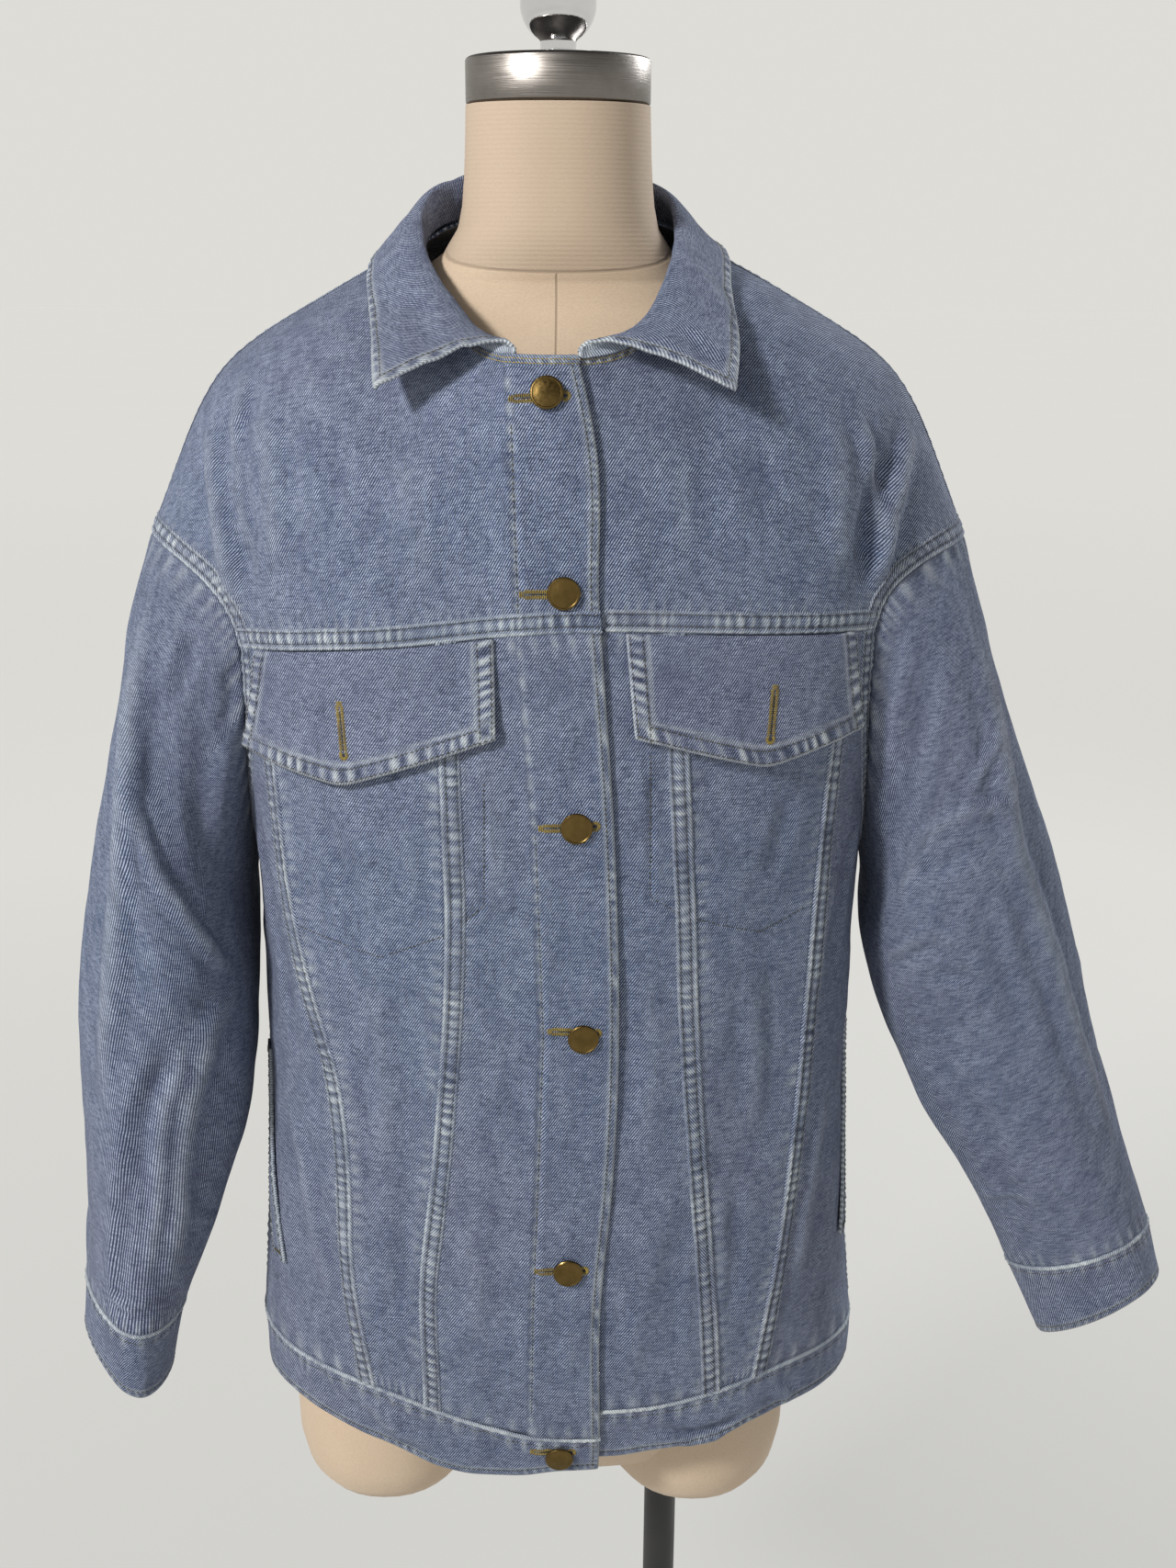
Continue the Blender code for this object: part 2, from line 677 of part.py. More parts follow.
def finish_object(name, mesh_maker, colour, roughness=0.9, metallic=0.0):
    """Makes a named object from a bmesh, with a material of its own."""
    mesh = bpy.data.meshes.new(name)
    bmesh.ops.recalc_face_normals(mesh_maker, faces=mesh_maker.faces)
    mesh_maker.to_mesh(mesh)
    mesh_maker.free()
    mesh.shade_smooth()
    mesh.set_sharp_from_angle(angle=math.radians(40))
    piece = bpy.data.objects.new(name, mesh)
    bpy.context.collection.objects.link(piece)
    material = bpy.data.materials.new(name)
    material.use_nodes = True
    shader = material.node_tree.nodes["Principled BSDF"]
    shader.inputs["Base Color"].default_value = (*colour, 1.0)
    shader.inputs["Roughness"].default_value = roughness
    shader.inputs["Metallic"].default_value = metallic
    mesh.materials.append(material)
    return piece


def add_sheet(name, outer, inner, colour, ring=False):
    """A wall between two grids of points. A ring's last column joins its first."""
    rows, columns = outer.shape[:2]
    maker = bmesh.new()
    faces = [[[maker.verts.new(point) for point in row] for row in grid] for grid in (outer, inner)]
    steps = range(columns) if ring else range(columns - 1)
    for side in faces:
        for row in range(rows - 1):
            for column in steps:
                after = (column + 1) % columns
                low, high = side[row], side[row + 1]
                maker.faces.new((low[column], low[after], high[after], high[column]))
    edge_rows = [[(row, column) for column in (*steps, (steps[-1] + 1) % columns)] for row in (0, rows - 1)]
    edge_columns = [] if ring else [[(row, column) for row in range(rows)] for column in (0, columns - 1)]
    for edge in edge_rows + edge_columns:
        for (row, column), (next_row, next_column) in zip(edge, edge[1:]):
            maker.faces.new(
                (
                    faces[0][row][column],
                    faces[0][next_row][next_column],
                    faces[1][next_row][next_column],
                    faces[1][row][column],
                )
            )
    return finish_object(name, maker, colour)


def add_lathe(name, profile, segments, colour, roughness, metallic, place=(0, 0, 0), axis=(0, 0, 1)):
    """Turns a profile of radius and height, which starts and ends on the axis."""
    maker = bmesh.new()
    points = [maker.verts.new((radius, 0, height)) for radius, height in profile]
    edges = [maker.edges.new(pair) for pair in zip(points, points[1:])]
    bmesh.ops.spin(
        maker,
        geom=points + edges,
        axis=(0, 0, 1),
        cent=(0, 0, 0),
        steps=segments,
        angle=math.tau,
        use_merge=True,
    )
    bmesh.ops.remove_doubles(maker, verts=maker.verts, dist=1e-5)
    turn = Vector((0, 0, 1)).rotation_difference(Vector(axis)).to_matrix()
    bmesh.ops.rotate(maker, verts=maker.verts, cent=(0, 0, 0), matrix=turn)
    bmesh.ops.translate(maker, verts=maker.verts, vec=place)
    return finish_object(name, maker, colour, roughness, metallic)


# Cut pieces


def spaced(lines, counts):
    """Pairs of a line's number and the share of the way to the next, for a count of cells between lines."""
    stations = [(index, step / count) for index, count in enumerate(counts) for step in range(count)]
    return [*stations, (len(lines) - 2, 1.0)]


def body_grid(side, lines, counts):
    """Outer and inner points between lines, which give an angle by row and height, and the foot's angles."""
    outer, inner, angles = [], [], []
    for row in BODY_ROWS:
        outer_row, inner_row = [], []
        for index, share in spaced(lines, counts):
            height = UNDERARM
            for _ in range(4):
                low, high = lines[index](row, height), lines[index + 1](row, height)
                angle = low + (high - low) * share
                height = row_height(side, angle, row)
            point, normal = body_point(angle, height), body_normal(angle, height)
            out, back = lap(side, point) if abs(angle) < 60 else (0.0, -WALL)
            outer_row.append(point + normal * out)
            inner_row.append(point + normal * back)
            if row == 0:
                angles.append(angle)
        outer.append(outer_row)
        inner.append(inner_row)
    return np.array(outer), np.array(inner), angles


def edge_lines(side):
    """x by height of the lines at a front's edge, from the edge inwards."""
    if side == LEFT:
        return [lambda height: smooth(FRONT_EDGE, height)[1] + UNDERLAP_INSET]
    return [
        lambda height: smooth(FRONT_EDGE, height)[0],
        lambda height: smooth(FRONT_EDGE, height)[1] + 0.0016,
        lambda height: smooth(FRONT_EDGE, height)[1] - 0.0016,
        lambda height: smooth(FRONT_EDGE, height)[1] - LAP_RAMP,
    ]


def at_angle(line):
    """A line given by x, as an angle."""
    return lambda _row, height: angle_across(line(height), height)


def front_seam(side, which):
    columns = {(RIGHT, "inner"): 0, (RIGHT, "outer"): 1, (LEFT, "inner"): 2, (LEFT, "outer"): 3}

    def edge(_row, height):
        return angle_across(side * smooth(FRONT_SEAMS, height)[columns[side, which]], height)

    return edge


def side_edge(side, behind):
    """The side seam, and the armhole above it."""

    def edge(row, _height):
        return arm_angle(side, max(row - LOWER_ROWS, 0), behind)

    return edge


def back_seam(side):
    def edge(_row, height):
        return side * (180 - smooth(BACK_SEAM, height)[0])

    return edge


def add_body_piece(name, side, lines, counts, colour, arm_inner=None):
    """Makes a piece and gives the angles of its foot, which go round from the left front."""
    outer, inner, angles = body_grid(side, lines, counts)
    if arm_inner is not None:
        inner[LOWER_ROWS:, -1] = arm_inner
    add_sheet(name, draw_back(outer), draw_back(inner), colour)
    return [angle + 360 if side == RIGHT else angle for angle in angles]


def armhole_inner(sleeve):
    """Inner points of the armhole, halfway between the walls of the body and of the sleeve."""
    sleeve_normals = sleeve.normals(0)
    middle = unit(sleeve.loop_normals + sleeve_normals)
    slant = np.maximum(np.sum(middle * sleeve.loop_normals, axis=1, keepdims=True), 0.7)
    return sleeve.loop - middle / slant * WALL


def add_lower_pieces(arm_inners):
    """Makes the pieces below the yokes and gives the angles of all the points above the hem band."""
    angles = []
    for side, word in ((RIGHT, "right"), (LEFT, "left")):
        inner = arm_inners[side]
        front_arm = inner[YOKE_ROWS:FRONT_COUNT][::-1]
        back_arm = inner[FRONT_COUNT - 1 : FRONT_COUNT + len(ARM_ROWS) - 1]
        inner_seam, outer_seam = front_seam(side, "inner"), front_seam(side, "outer")
        centre_lines = [at_angle(line) for line in edge_lines(side)] + [inner_seam]
        counts = (3, 1, 2, 2) if side == RIGHT else (7,)
        angles += add_body_piece(f"front_centre_{word}", side, centre_lines, counts, DENIM)
        angles += add_body_piece(f"front_mid_{word}", side, (inner_seam, outer_seam), (4,), DENIM)
        side_lines = (outer_seam, side_edge(side, False))
        angles += add_body_piece(f"front_side_{word}", side, side_lines, (5,), DENIM_DARK, front_arm)
        side_lines = (back_seam(side), side_edge(side, True))
        angles += add_body_piece(f"back_side_{word}", side, side_lines, (7,), DENIM_DARK, back_arm)

    def far_seam(_row, height):
        return 180 + smooth(BACK_SEAM, height)[0]

    angles += add_body_piece("back_centre", LEFT, (back_seam(LEFT), far_seam), (7,), DENIM)
    return angles


def add_front_yoke(side, word, arm_inner):
    middle, top = YOKE_SEAM[2][1], NECK_HEIGHTS[1][1]
    ends = []
    for line in edge_lines(side):
        low = side * angle_across(line(middle), middle) / ARM_ANGLE
        high = side * math.degrees(math.asin(line(top) / NECK_HALF_WIDTH)) / NECK_SIDE_ANGLE * NECK_SHARE
        ends.append((low, high))
    ends += [(NECK_SHARE, NECK_SHARE), (1.0, 1.0)]
    counts = (3, 1, 2, 3, 7) if side == RIGHT else (8, 7)
    outer, inner = [], []
    for step in range(YOKE_ROWS + 1):
        rise = step / YOKE_ROWS
        lines = [low + (high - low) * rise for low, high in ends]
        outer_row, inner_row = [], []
        for index, share in spaced(lines, counts):
            across = lines[index] + (lines[index + 1] - lines[index]) * share
            point, normal = yoke_point("front", side, across, rise), yoke_normal("front", side, across, rise)
            out, back = lap(side, point) if across < NECK_SHARE else (0.0, -WALL)
            outer_row.append(point + normal * out)
            inner_row.append(point + normal * back)
        outer.append(outer_row)
        inner.append(inner_row)
    outer, inner = np.array(outer), np.array(inner)
    inner[:, -1] = arm_inner[: YOKE_ROWS + 1][::-1]
    return add_sheet(f"front_yoke_{word}", draw_back(outer), draw_back(inner), DENIM)


def add_back_yoke(arm_inners):
    outer, inner = [], []
    half = [*np.linspace(0, NECK_SHARE, 6)[1:], *np.linspace(NECK_SHARE, 1, 8)[1:]]
    stations = [(RIGHT, across) for across in reversed(half)] + [(LEFT, across) for across in (0, *half)]
    for step in range(YOKE_ROWS + 1):
        rise = step / YOKE_ROWS
        points = [yoke_point("back", side, across, rise) for side, across in stations]
        normals = [yoke_normal("back", side, max(across, STEP * 2), rise) for side, across in stations]
        outer.append(points)
        inner.append(np.array(points) - np.array(normals) * WALL)
    outer, inner = np.array(outer), np.array(inner)
    for column, side in ((0, RIGHT), (-1, LEFT)):
        ring = arm_inners[side]
        inner[:, column] = np.vstack((ring[FRONT_COUNT + len(ARM_ROWS) - 2 :], ring[:1]))
    return add_sheet("back_yoke", draw_back(outer), draw_back(inner), DENIM)


def add_sleeve(sleeve, word, arm_inner):
    """The sleeve stands off the armhole by the seam's gap."""
    off = np.array((sleeve.side * SEAM_GAP, 0.0, 0.0))
    outer, inner = [], []
    for row in range(SLEEVE_ROWS + 1):
        along = sleeve.last_ring * (row / SLEEVE_ROWS) ** 1.1
        points = sleeve.ring(along)[0]
        outer.append(points + off)
        inner.append(points - sleeve.normals(along) * WALL + off)
    inner[0] = arm_inner + off
    grids = [draw_back(np.array(grid), first_column=False, last_column=False) for grid in (outer, inner)]
    add_sheet(f"sleeve_{word}", *grids, DENIM, ring=True)
    outer, inner = [], []
    for row in range(CUFF_ROWS + 1):
        along = sleeve.last_ring + row / CUFF_ROWS
        points, normals = sleeve.ring(along)[0], sleeve.normals(along)
        outer.append(points + normals * BAND_PROUD + off)
        inner.append(points + normals * (BAND_PROUD - BAND_WALL) + off)
    grids = [draw_back(np.array(grid), first_column=False, last_column=False) for grid in (outer, inner)]
    add_sheet(f"cuff_{word}", *grids, DENIM_DARK, ring=True)


def add_hem_band(angles):
    """A strip under all the pieces, with its points below theirs. Its right end laps over the left one."""
    stations = []
    for angle in sorted(angles):
        if not stations or angle - stations[-1] > 0.05:
            stations.append(angle)
    start = stations[0]
    under_end, ramp = 24, 12  # degrees: the end on top rises in the ramp before it meets the end below
    outer, inner = [], []
    for share in np.linspace(0, 1, 4):
        outer_row, inner_row = [], []
        for angle in stations:
            top, bottom = smooth(HEM_BAND, angle)
            height = top + (bottom - top) * share
            point, normal = body_point(angle, height), body_normal(angle, height)
            proud = BAND_PROUD * ease((angle - under_end) / ramp)
            proud += (BAND_WALL + LAP_GAP) * ease((angle - 360 - start + ramp + 2) / ramp)
            outer_row.append(point + normal * proud)
            inner_row.append(point + normal * (proud - BAND_WALL))
        outer.append(outer_row)
        inner.append(inner_row)
    outer, inner = np.array(outer), np.array(inner)
    return add_sheet("hem_band", draw_back(outer), draw_back(inner), DENIM_DARK)


def collar_station(side, share):
    """The collar's visible side at a share of the way to the back: neckline, roll and outer edge."""
    angle = COLLAR_END_ANGLE[side] + (180 - COLLAR_END_ANGLE[side]) * share
    foot = neckline(angle) * (side, 1, 1)
    rise, size = smooth(COLLAR_ROLL, share)
    centre = np.array((0.0, NECK_CENTRE_Y, 0.0))
    roll = centre + (foot - centre) * (size, size, 1) + (0, 0, rise)
    edge = smooth(COLLAR_EDGE, share) * (side, 1, 1)
    shift = np.array((COLLAR_SHIFT * ease((share - 0.15) / 0.3), 0.0, 0.0))
    roll, edge = roll + shift, edge + shift
    foot = foot + (0, 0, COLLAR_LIFT)
    points = [foot + (roll - foot) * part for part in (0.0, 0.45, 0.85)]
    for part, swell in COLLAR_SECTION:
        points.append(roll + (edge - roll) * part + np.array((0, 0, swell)))
    return np.array(points)


def add_collar(yokes):
    """The roll and fall are kept clear of the yokes they lie on."""
    shares = np.linspace(0, 1, 23) ** 0.9
    stations = [(RIGHT, share) for share in shares] + [(LEFT, share) for share in shares[-2::-1]]
    top = np.array([collar_station(side, share) for side, share in stations])
    trees = [surface_tree(yoke) for yoke in yokes]
    for _ in range(4):
        normals = grid_normals(top)
        under = top - normals * BAND_WALL
        for index in np.ndindex(*top.shape[:2]):
            clearance = COLLAR_CLEARANCE if index[1] > 2 else COLLAR_LIFT
            top[index] += clearance_push(trees, under[index], clearance)
    under = top - grid_normals(top) * BAND_WALL
    return add_sheet("collar", top, under, DENIM_DARK)


def surface_tree(piece):
    points = [vertex.co for vertex in piece.data.vertices]
    return BVHTree.FromPolygons(points, [face.vertices for face in piece.data.polygons])


def clearance_push(trees, point, clearance):
    """The move that takes a point out to the clearance from the nearest of some surfaces."""
    found = [tree.find_nearest(Vector(point)) for tree in trees]
    place, normal, _, _ = min(found, key=lambda item: item[3])
    away = np.array(normal)
    if np.dot(away, place - Vector((0, 0, UNDERARM))) < 0:
        away = -away
    height = np.dot(np.array(point) - np.array(place), away)
    return away * max(clearance - height, 0)


def grid_normals(grid):
    down = np.gradient(grid, axis=1)
    along = np.gradient(grid, axis=0)
    return unit(np.cross(along, down))


def add_flap(side, word):
    in_top, out_top, in_low, in_z, tip_x, tip_z, out_low, out_z = FLAPS[side]
    rows, columns = 4, 12
    tip_share = (tip_x - in_low) / (out_low - in_low)
    outer, inner = [], []
    for row in range(rows + 1):
        down = row / rows
        outer_row, inner_row = [], []
        for column in range(columns + 1):
            share = column / columns
            # the column in the middle goes to the tip
            share = share * 2 * tip_share if share < 0.5 else tip_share + (share - 0.5) * 2 * (1 - tip_share)
            top_x = in_top + (out_top - in_top) * share
            low_x = in_low + (out_low - in_low) * share
            if share < tip_share:
                low_z = in_z + (tip_z - in_z) * share / tip_share
            else:
                low_z = tip_z + (out_z - tip_z) * (share - tip_share) / (1 - tip_share)
            top_z = yoke_seam_height(angle_across(side * top_x, YOKE_SEAM[2][1])) - FLAP_UNDER_SEAM
            x, height = top_x + (low_x - top_x) * down, top_z + (low_z - top_z) * down
            angle = angle_across(side * x, height)
            point, normal = body_point(angle, height), body_normal(angle, height)
            off = lap(side, point)[0] + LAID_ON + FLAP_LIFT * down**2
            inner_row.append(point + normal * off)
            outer_row.append(point + normal * (off + BAND_WALL))
        outer.append(outer_row)
        inner.append(inner_row)
    return add_sheet(f"flap_{word}", np.array(outer), np.array(inner), DENIM_DARK)


def add_welt(side, word):
    top_angle, top_z, low_angle, low_z = WELTS[side]
    outer, inner = [], []
    for share in np.linspace(0, 1, 12):
        height = top_z + (low_z - top_z) * share
        angle = side * (top_angle + (low_angle - top_angle) * share)
        width = math.degrees(WELT_WIDTH / body_radius(angle, height)) * side
        outer_row, inner_row = [], []
        for part in np.linspace(0, 1, 4):
            across = angle + width * part
            point, normal = body_point(across, height), body_normal(across, height)
            inner_row.append(point + normal * LAID_ON)
            outer_row.append(point + normal * (LAID_ON + WALL))
        outer.append(outer_row)
        inner.append(inner_row)
    return add_sheet(f"welt_{word}", np.array(outer), np.array(inner), DENIM)


def add_button(number, height):
    """Sits on the right front, square to it."""
    x = smooth(FRONT_EDGE, height)[2]
    if height > YOKE_SEAM[2][1]:
        rise = (height - YOKE_SEAM[2][1]) / (NECK_HEIGHTS[1][1] - YOKE_SEAM[2][1])
        for _ in range(6):
            point = yoke_point("front", RIGHT, -x / YOKE_SPREAD, rise)
            rise += (height - point[2]) / (NECK_HEIGHTS[1][1] - YOKE_SEAM[2][1])
        across = -x / YOKE_SPREAD
        point, normal = yoke_point("front", RIGHT, across, rise), yoke_normal("front", RIGHT, across, rise)
    else:
        angle = angle_across(x, height)
        point, normal = body_point(angle, height), body_normal(angle, height)
    if height < smooth(HEM_BAND, 360)[0]:
        out = BAND_PROUD + BAND_WALL + LAP_GAP
    else:
        out = lap(RIGHT, point)[0]
    place = point + normal * (out + SEAM_GAP)
    add_lathe(f"button_{number}", BUTTON_PROFILE, 14, (0.26, 0.19, 0.07), 0.42, 1.0, place, normal)


# The dress form and its stand


def form_ring(maker, height, centre, half_width, front, back, segments):
    ring = []
    for index in range(segments):
        angle = math.tau * index / segments
        side, ahead = math.sin(angle), math.cos(angle)
        depth = front if ahead > 0 else back
        inverse = (abs(side) / half_width) ** FORM_POWER + (abs(ahead) / depth) ** FORM_POWER
        radius = inverse ** (-1 / FORM_POWER)
        ring.append(maker.verts.new((centre[0] + radius * side, centre[1] - radius * ahead, height)))
    return ring


def add_loft(name, rings_of, colour):
    """Bridges rings of equal count and caps both ends."""
    maker = bmesh.new()
    rings = rings_of(maker)
    for low, high in zip(rings, rings[1:]):
        for index, vertex in enumerate(low):
            after = (index + 1) % len(low)
            maker.faces.new((vertex, low[after], high[after], high[index]))
    maker.faces.new(rings[0])
    maker.faces.new(rings[-1])
    return finish_object(name, maker, colour, 0.85)


def add_form():
    cream = (0.60, 0.47, 0.35)
    segments = 26

    def torso_rings(maker):
        heights = [row[0] for row in FORM_SECTIONS]
        heights += [(low + high) / 2 for low, high in zip(heights[4:12], heights[5:13])]
        rings = []
        for height in sorted(heights):
            centre_y, half_width, front, back = smooth(FORM_SECTIONS, height)
            centre = (smooth(FORM_LEAN, height)[0], centre_y)
            rings.append(form_ring(maker, height, centre, half_width, front, back, segments))
        return rings

    def stub_rings(side):
        def rings(maker):
            centre = (FORM_LEAN[0][1] + side * STUB_CENTRE, 0.002)
            return [form_ring(maker, z, centre, width, depth, depth, 22) for z, width, depth in STUB_SECTIONS]

        return rings

    torso = add_loft("form_torso", torso_rings, cream)
    for side, word in ((RIGHT, "right"), (LEFT, "left")):
        stub = add_loft(f"stub_{word}", stub_rings(side), cream)
        stub.hide_render = True
        stub.display_type = "WIRE"
        union = torso.modifiers.new(f"stub_{word}", "BOOLEAN")
        union.operation = "UNION"
        union.object = stub

    steel, chrome, black = (0.42, 0.40, 0.38), (0.60, 0.60, 0.60), (0.02, 0.02, 0.02)
    edge = 0.0015
    cap = (
        (0, CAP_BOTTOM),
        (CAP_RADIUS - edge, CAP_BOTTOM),
        (CAP_RADIUS, CAP_BOTTOM + edge),
        (CAP_RADIUS, CAP_TOP - edge),
        (CAP_RADIUS - edge, CAP_TOP),
        (0, CAP_TOP),
    )
    add_lathe("form_neck_cap", cap, 36, steel, 0.35, 1.0)
    knob = [(0, CAP_TOP + SEAM_GAP), (SHANK_RADIUS, CAP_TOP + SEAM_GAP)]
    for share in np.linspace(0, 1, 9):
        angle = -math.acos(SHANK_RADIUS / KNOB_RADIUS) * (1 - share) + math.pi / 2 * share
        knob.append((max(KNOB_RADIUS * math.cos(angle), 0), KNOB_CENTRE + KNOB_RADIUS * math.sin(angle)))
    add_lathe("form_knob", knob, 20, chrome, 0.12, 1.0)
    pole = (
        (0, BASE_HEIGHT + SEAM_GAP),
        (FLANGE_RADIUS, BASE_HEIGHT + SEAM_GAP),
        (FLANGE_RADIUS, BASE_HEIGHT + FLANGE_HEIGHT),
        (POLE_RADIUS + 0.006, BASE_HEIGHT + FLANGE_HEIGHT + 0.002),
        (POLE_RADIUS, BASE_HEIGHT + FLANGE_HEIGHT + 0.030),
        (POLE_RADIUS, POLE_TOP),
        (0, POLE_TOP),
    )
    add_lathe("form_pole", pole, 20, black, 0.45, 0.6, (POLE_X, 0, 0))
    base = (
        (0, 0),
        (BASE_RADIUS - BASE_EDGE / 2, 0),
        (BASE_RADIUS, BASE_EDGE / 2),
        (BASE_RADIUS, BASE_HEIGHT - BASE_EDGE),
        (BASE_RADIUS - BASE_EDGE, BASE_HEIGHT),
        (0, BASE_HEIGHT),
    )
    add_lathe("form_base", base, 44, black, 0.45, 0.6)


def main():
    for old in list(bpy.data.objects):
        bpy.data.objects.remove(old)
    sleeves = {side: Sleeve(side) for side in (RIGHT, LEFT)}
    arm_inners = {side: armhole_inner(sleeves[side]) for side in (RIGHT, LEFT)}
    foot_angles = add_lower_pieces(arm_inners)
    yokes = [add_back_yoke(arm_inners)]
    for side, word in ((RIGHT, "right"), (LEFT, "left")):
        yokes.append(add_front_yoke(side, word, arm_inners[side]))
        add_sleeve(sleeves[side], word, arm_inners[side])
        add_flap(side, word)
        add_welt(side, word)
    add_hem_band(foot_angles)
    add_collar(yokes)
    for number, height in enumerate(BUTTON_HEIGHTS, 1):
        add_button(number, height)
    add_form()


main()
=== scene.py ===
import math

import bmesh
import bpy
import numpy as np
from mathutils import Matrix, Vector, noise
from mathutils.bvhtree import BVHTree


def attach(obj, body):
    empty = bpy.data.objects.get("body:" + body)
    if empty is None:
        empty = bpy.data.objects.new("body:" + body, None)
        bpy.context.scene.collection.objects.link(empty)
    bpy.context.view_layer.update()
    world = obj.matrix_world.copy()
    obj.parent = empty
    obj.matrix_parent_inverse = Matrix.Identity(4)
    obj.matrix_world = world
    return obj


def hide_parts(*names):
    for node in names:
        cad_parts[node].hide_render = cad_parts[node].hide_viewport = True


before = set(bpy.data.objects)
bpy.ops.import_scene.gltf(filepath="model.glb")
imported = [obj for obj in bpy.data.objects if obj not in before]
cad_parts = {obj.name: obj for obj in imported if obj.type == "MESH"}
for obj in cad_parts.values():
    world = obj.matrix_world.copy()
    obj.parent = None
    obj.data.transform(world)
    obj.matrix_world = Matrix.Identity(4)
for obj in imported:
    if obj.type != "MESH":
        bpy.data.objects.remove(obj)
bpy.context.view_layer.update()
sheets = {}  # finished cloth pieces by name, with their grids of points

clothSettings = {
    "finer": 3,  # how many times the cells of a solid's grid are halved
    "mapSteps": 400,
    "sizeMargin": 0.001,
    "collarTurn": (0.30, 0.40),  # where the grain of its one end gives way to the other's, and over how much
}


def ease(share):
    share = np.clip(share, 0.0, 1.0)
    return share * share * (3 - 2 * share)


def hump(share):
    share = np.clip(np.abs(share), 0.0, 1.0)
    return (1 - share * share) ** 2


def unitRows(vectors):
    return vectors / np.maximum(np.linalg.norm(vectors, axis=-1, keepdims=True), 1e-12)


def lengthsAlong(points, axis=0):
    # how far each point lies along its line
    steps = np.linalg.norm(np.diff(points, axis=axis), axis=-1)
    return np.insert(np.cumsum(steps, axis=axis), 0, 0.0, axis=axis)


def placesAt(wanted, length, values):
    # values at the wanted distances along a line
    return np.column_stack([np.interp(wanted, length, column) for column in values.T])


def closeRing(values):
    return np.concatenate((values, values[:, :1]), axis=1)


def waverRow(values, seed, size):
    return np.array([noise.noise(Vector((value / size, seed * 7.31, seed * 1.7))) for value in values])


def plainRow(values, seed):
    return np.array([noise.noise(Vector((value, seed, 0))) for value in values])


def softNoise(points, seed, size):
    shift = Vector((seed * 3.1, seed * 5.7, seed * 1.3))
    values = [noise.noise(Vector(point) / size + shift) for point in points.reshape(-1, 3)]
    return np.reshape(values, points.shape[:-1])


def addObject(name, data):
    piece = bpy.data.objects.new(name, data)
    bpy.context.scene.collection.objects.link(piece)
    return piece


def meshFrom(bm, name, smooth=True):
    mesh = bpy.data.meshes.new(name)
    bm.to_mesh(mesh)
    bm.free()
    if smooth:
        mesh.shade_smooth()
    return mesh


def applied(piece):
    # a mesh of the piece with its modifiers worked in
    bpy.context.view_layer.update()
    mesh = bpy.data.meshes.new_from_object(piece.evaluated_get(bpy.context.evaluated_depsgraph_get()))
    piece.modifiers.clear()
    return mesh


rightArm = ((-0.200, -0.005, 1.120), (-0.236, -0.040, 0.930), (-0.280, -0.046, 0.700))
leftArm = ((0.200, -0.005, 1.120), (0.255, -0.022, 0.950), (0.355, -0.032, 0.725))
armLines = {"sleeve_right": rightArm, "cuff_right": rightArm, "sleeve_left": leftArm, "cuff_left": leftArm}


def nearestOnLine(points, line):
    # nearest places on a bent line, their distances, and how far along it they are
    line = np.asarray(line, float)
    steps = np.linalg.norm(np.diff(line, axis=0), axis=1)
    best = np.full(points.shape[:-1], 1e9)
    along = np.zeros(points.shape[:-1])
    place = np.zeros(points.shape)
    for index, step in enumerate(steps):
        way = line[index + 1] - line[index]
        share = np.clip((points - line[index]) @ way / (way @ way), 0, 1)
        near = line[index] + share[..., None] * way
        distance = np.linalg.norm(points - near, axis=-1)
        better = distance < best
        best = np.where(better, distance, best)
        place = np.where(better[..., None], near, place)
        along = np.where(better, (steps[:index].sum() + share * step) / steps.sum(), along)
    return place, best, along


def insidePoints(node, points):
    # places well inside the garment, one for each point of its cloth
    if node in armLines:
        return nearestOnLine(points, armLines[node])[0]
    inside = points * np.array((0.0, 0.0, 1.0))
    inside[..., 2] = np.minimum(inside[..., 2], 1.25)
    return inside


def keepOuterSide(bm, node, rimLengths):
    # drops the rim, whose edges have the wall's thickness, and then all but the outermost of what is left
    bmesh.ops.remove_doubles(bm, verts=bm.verts, dist=1e-5)
    bm.normal_update()
    low, high = rimLengths
    across = {edge for edge in bm.edges if low < edge.calc_length() < high}
    rim = [face for face in bm.faces if any(edge in across for edge in face.edges)]
    bmesh.ops.delete(bm, geom=rim, context="FACES")
    left, islands = set(bm.faces), []
    while left:
        stack = [left.pop()]
        island = list(stack)
        while stack:
            near = {face for edge in stack.pop().edges for face in edge.link_faces if face in left}
            left -= near
            stack += near
            island += near
        centres = np.array([face.calc_center_median() for face in island])
        outwards = np.sum((centres - insidePoints(node, centres)) * [face.normal for face in island], axis=1)
        areas = np.array([face.calc_area() for face in island])
        islands.append((float((outwards * areas).sum()), len(islands), island))
    keep = set(max(islands)[2])
    bmesh.ops.delete(bm, geom=[face for face in bm.faces if face not in keep], context="FACES")


def boundaryLoops(bm):
    edges = {edge for edge in bm.edges if edge.is_boundary}
    loops = []
    while edges:
        edge = edges.pop()
        loop = [edge.verts[0], edge.verts[1]]
        while True:
            onward = next((e for e in loop[-1].link_edges if e in edges), None)
            if onward is None:
                break
            edges.remove(onward)
            loop.append(onward.other_vert(loop[-1]))
        loops.append(loop[:-1] if loop[-1] is loop[0] else loop)
    return loops


def thirdVertex(face, edge):
    return next(vert for vert in face.verts if vert not in edge.verts)


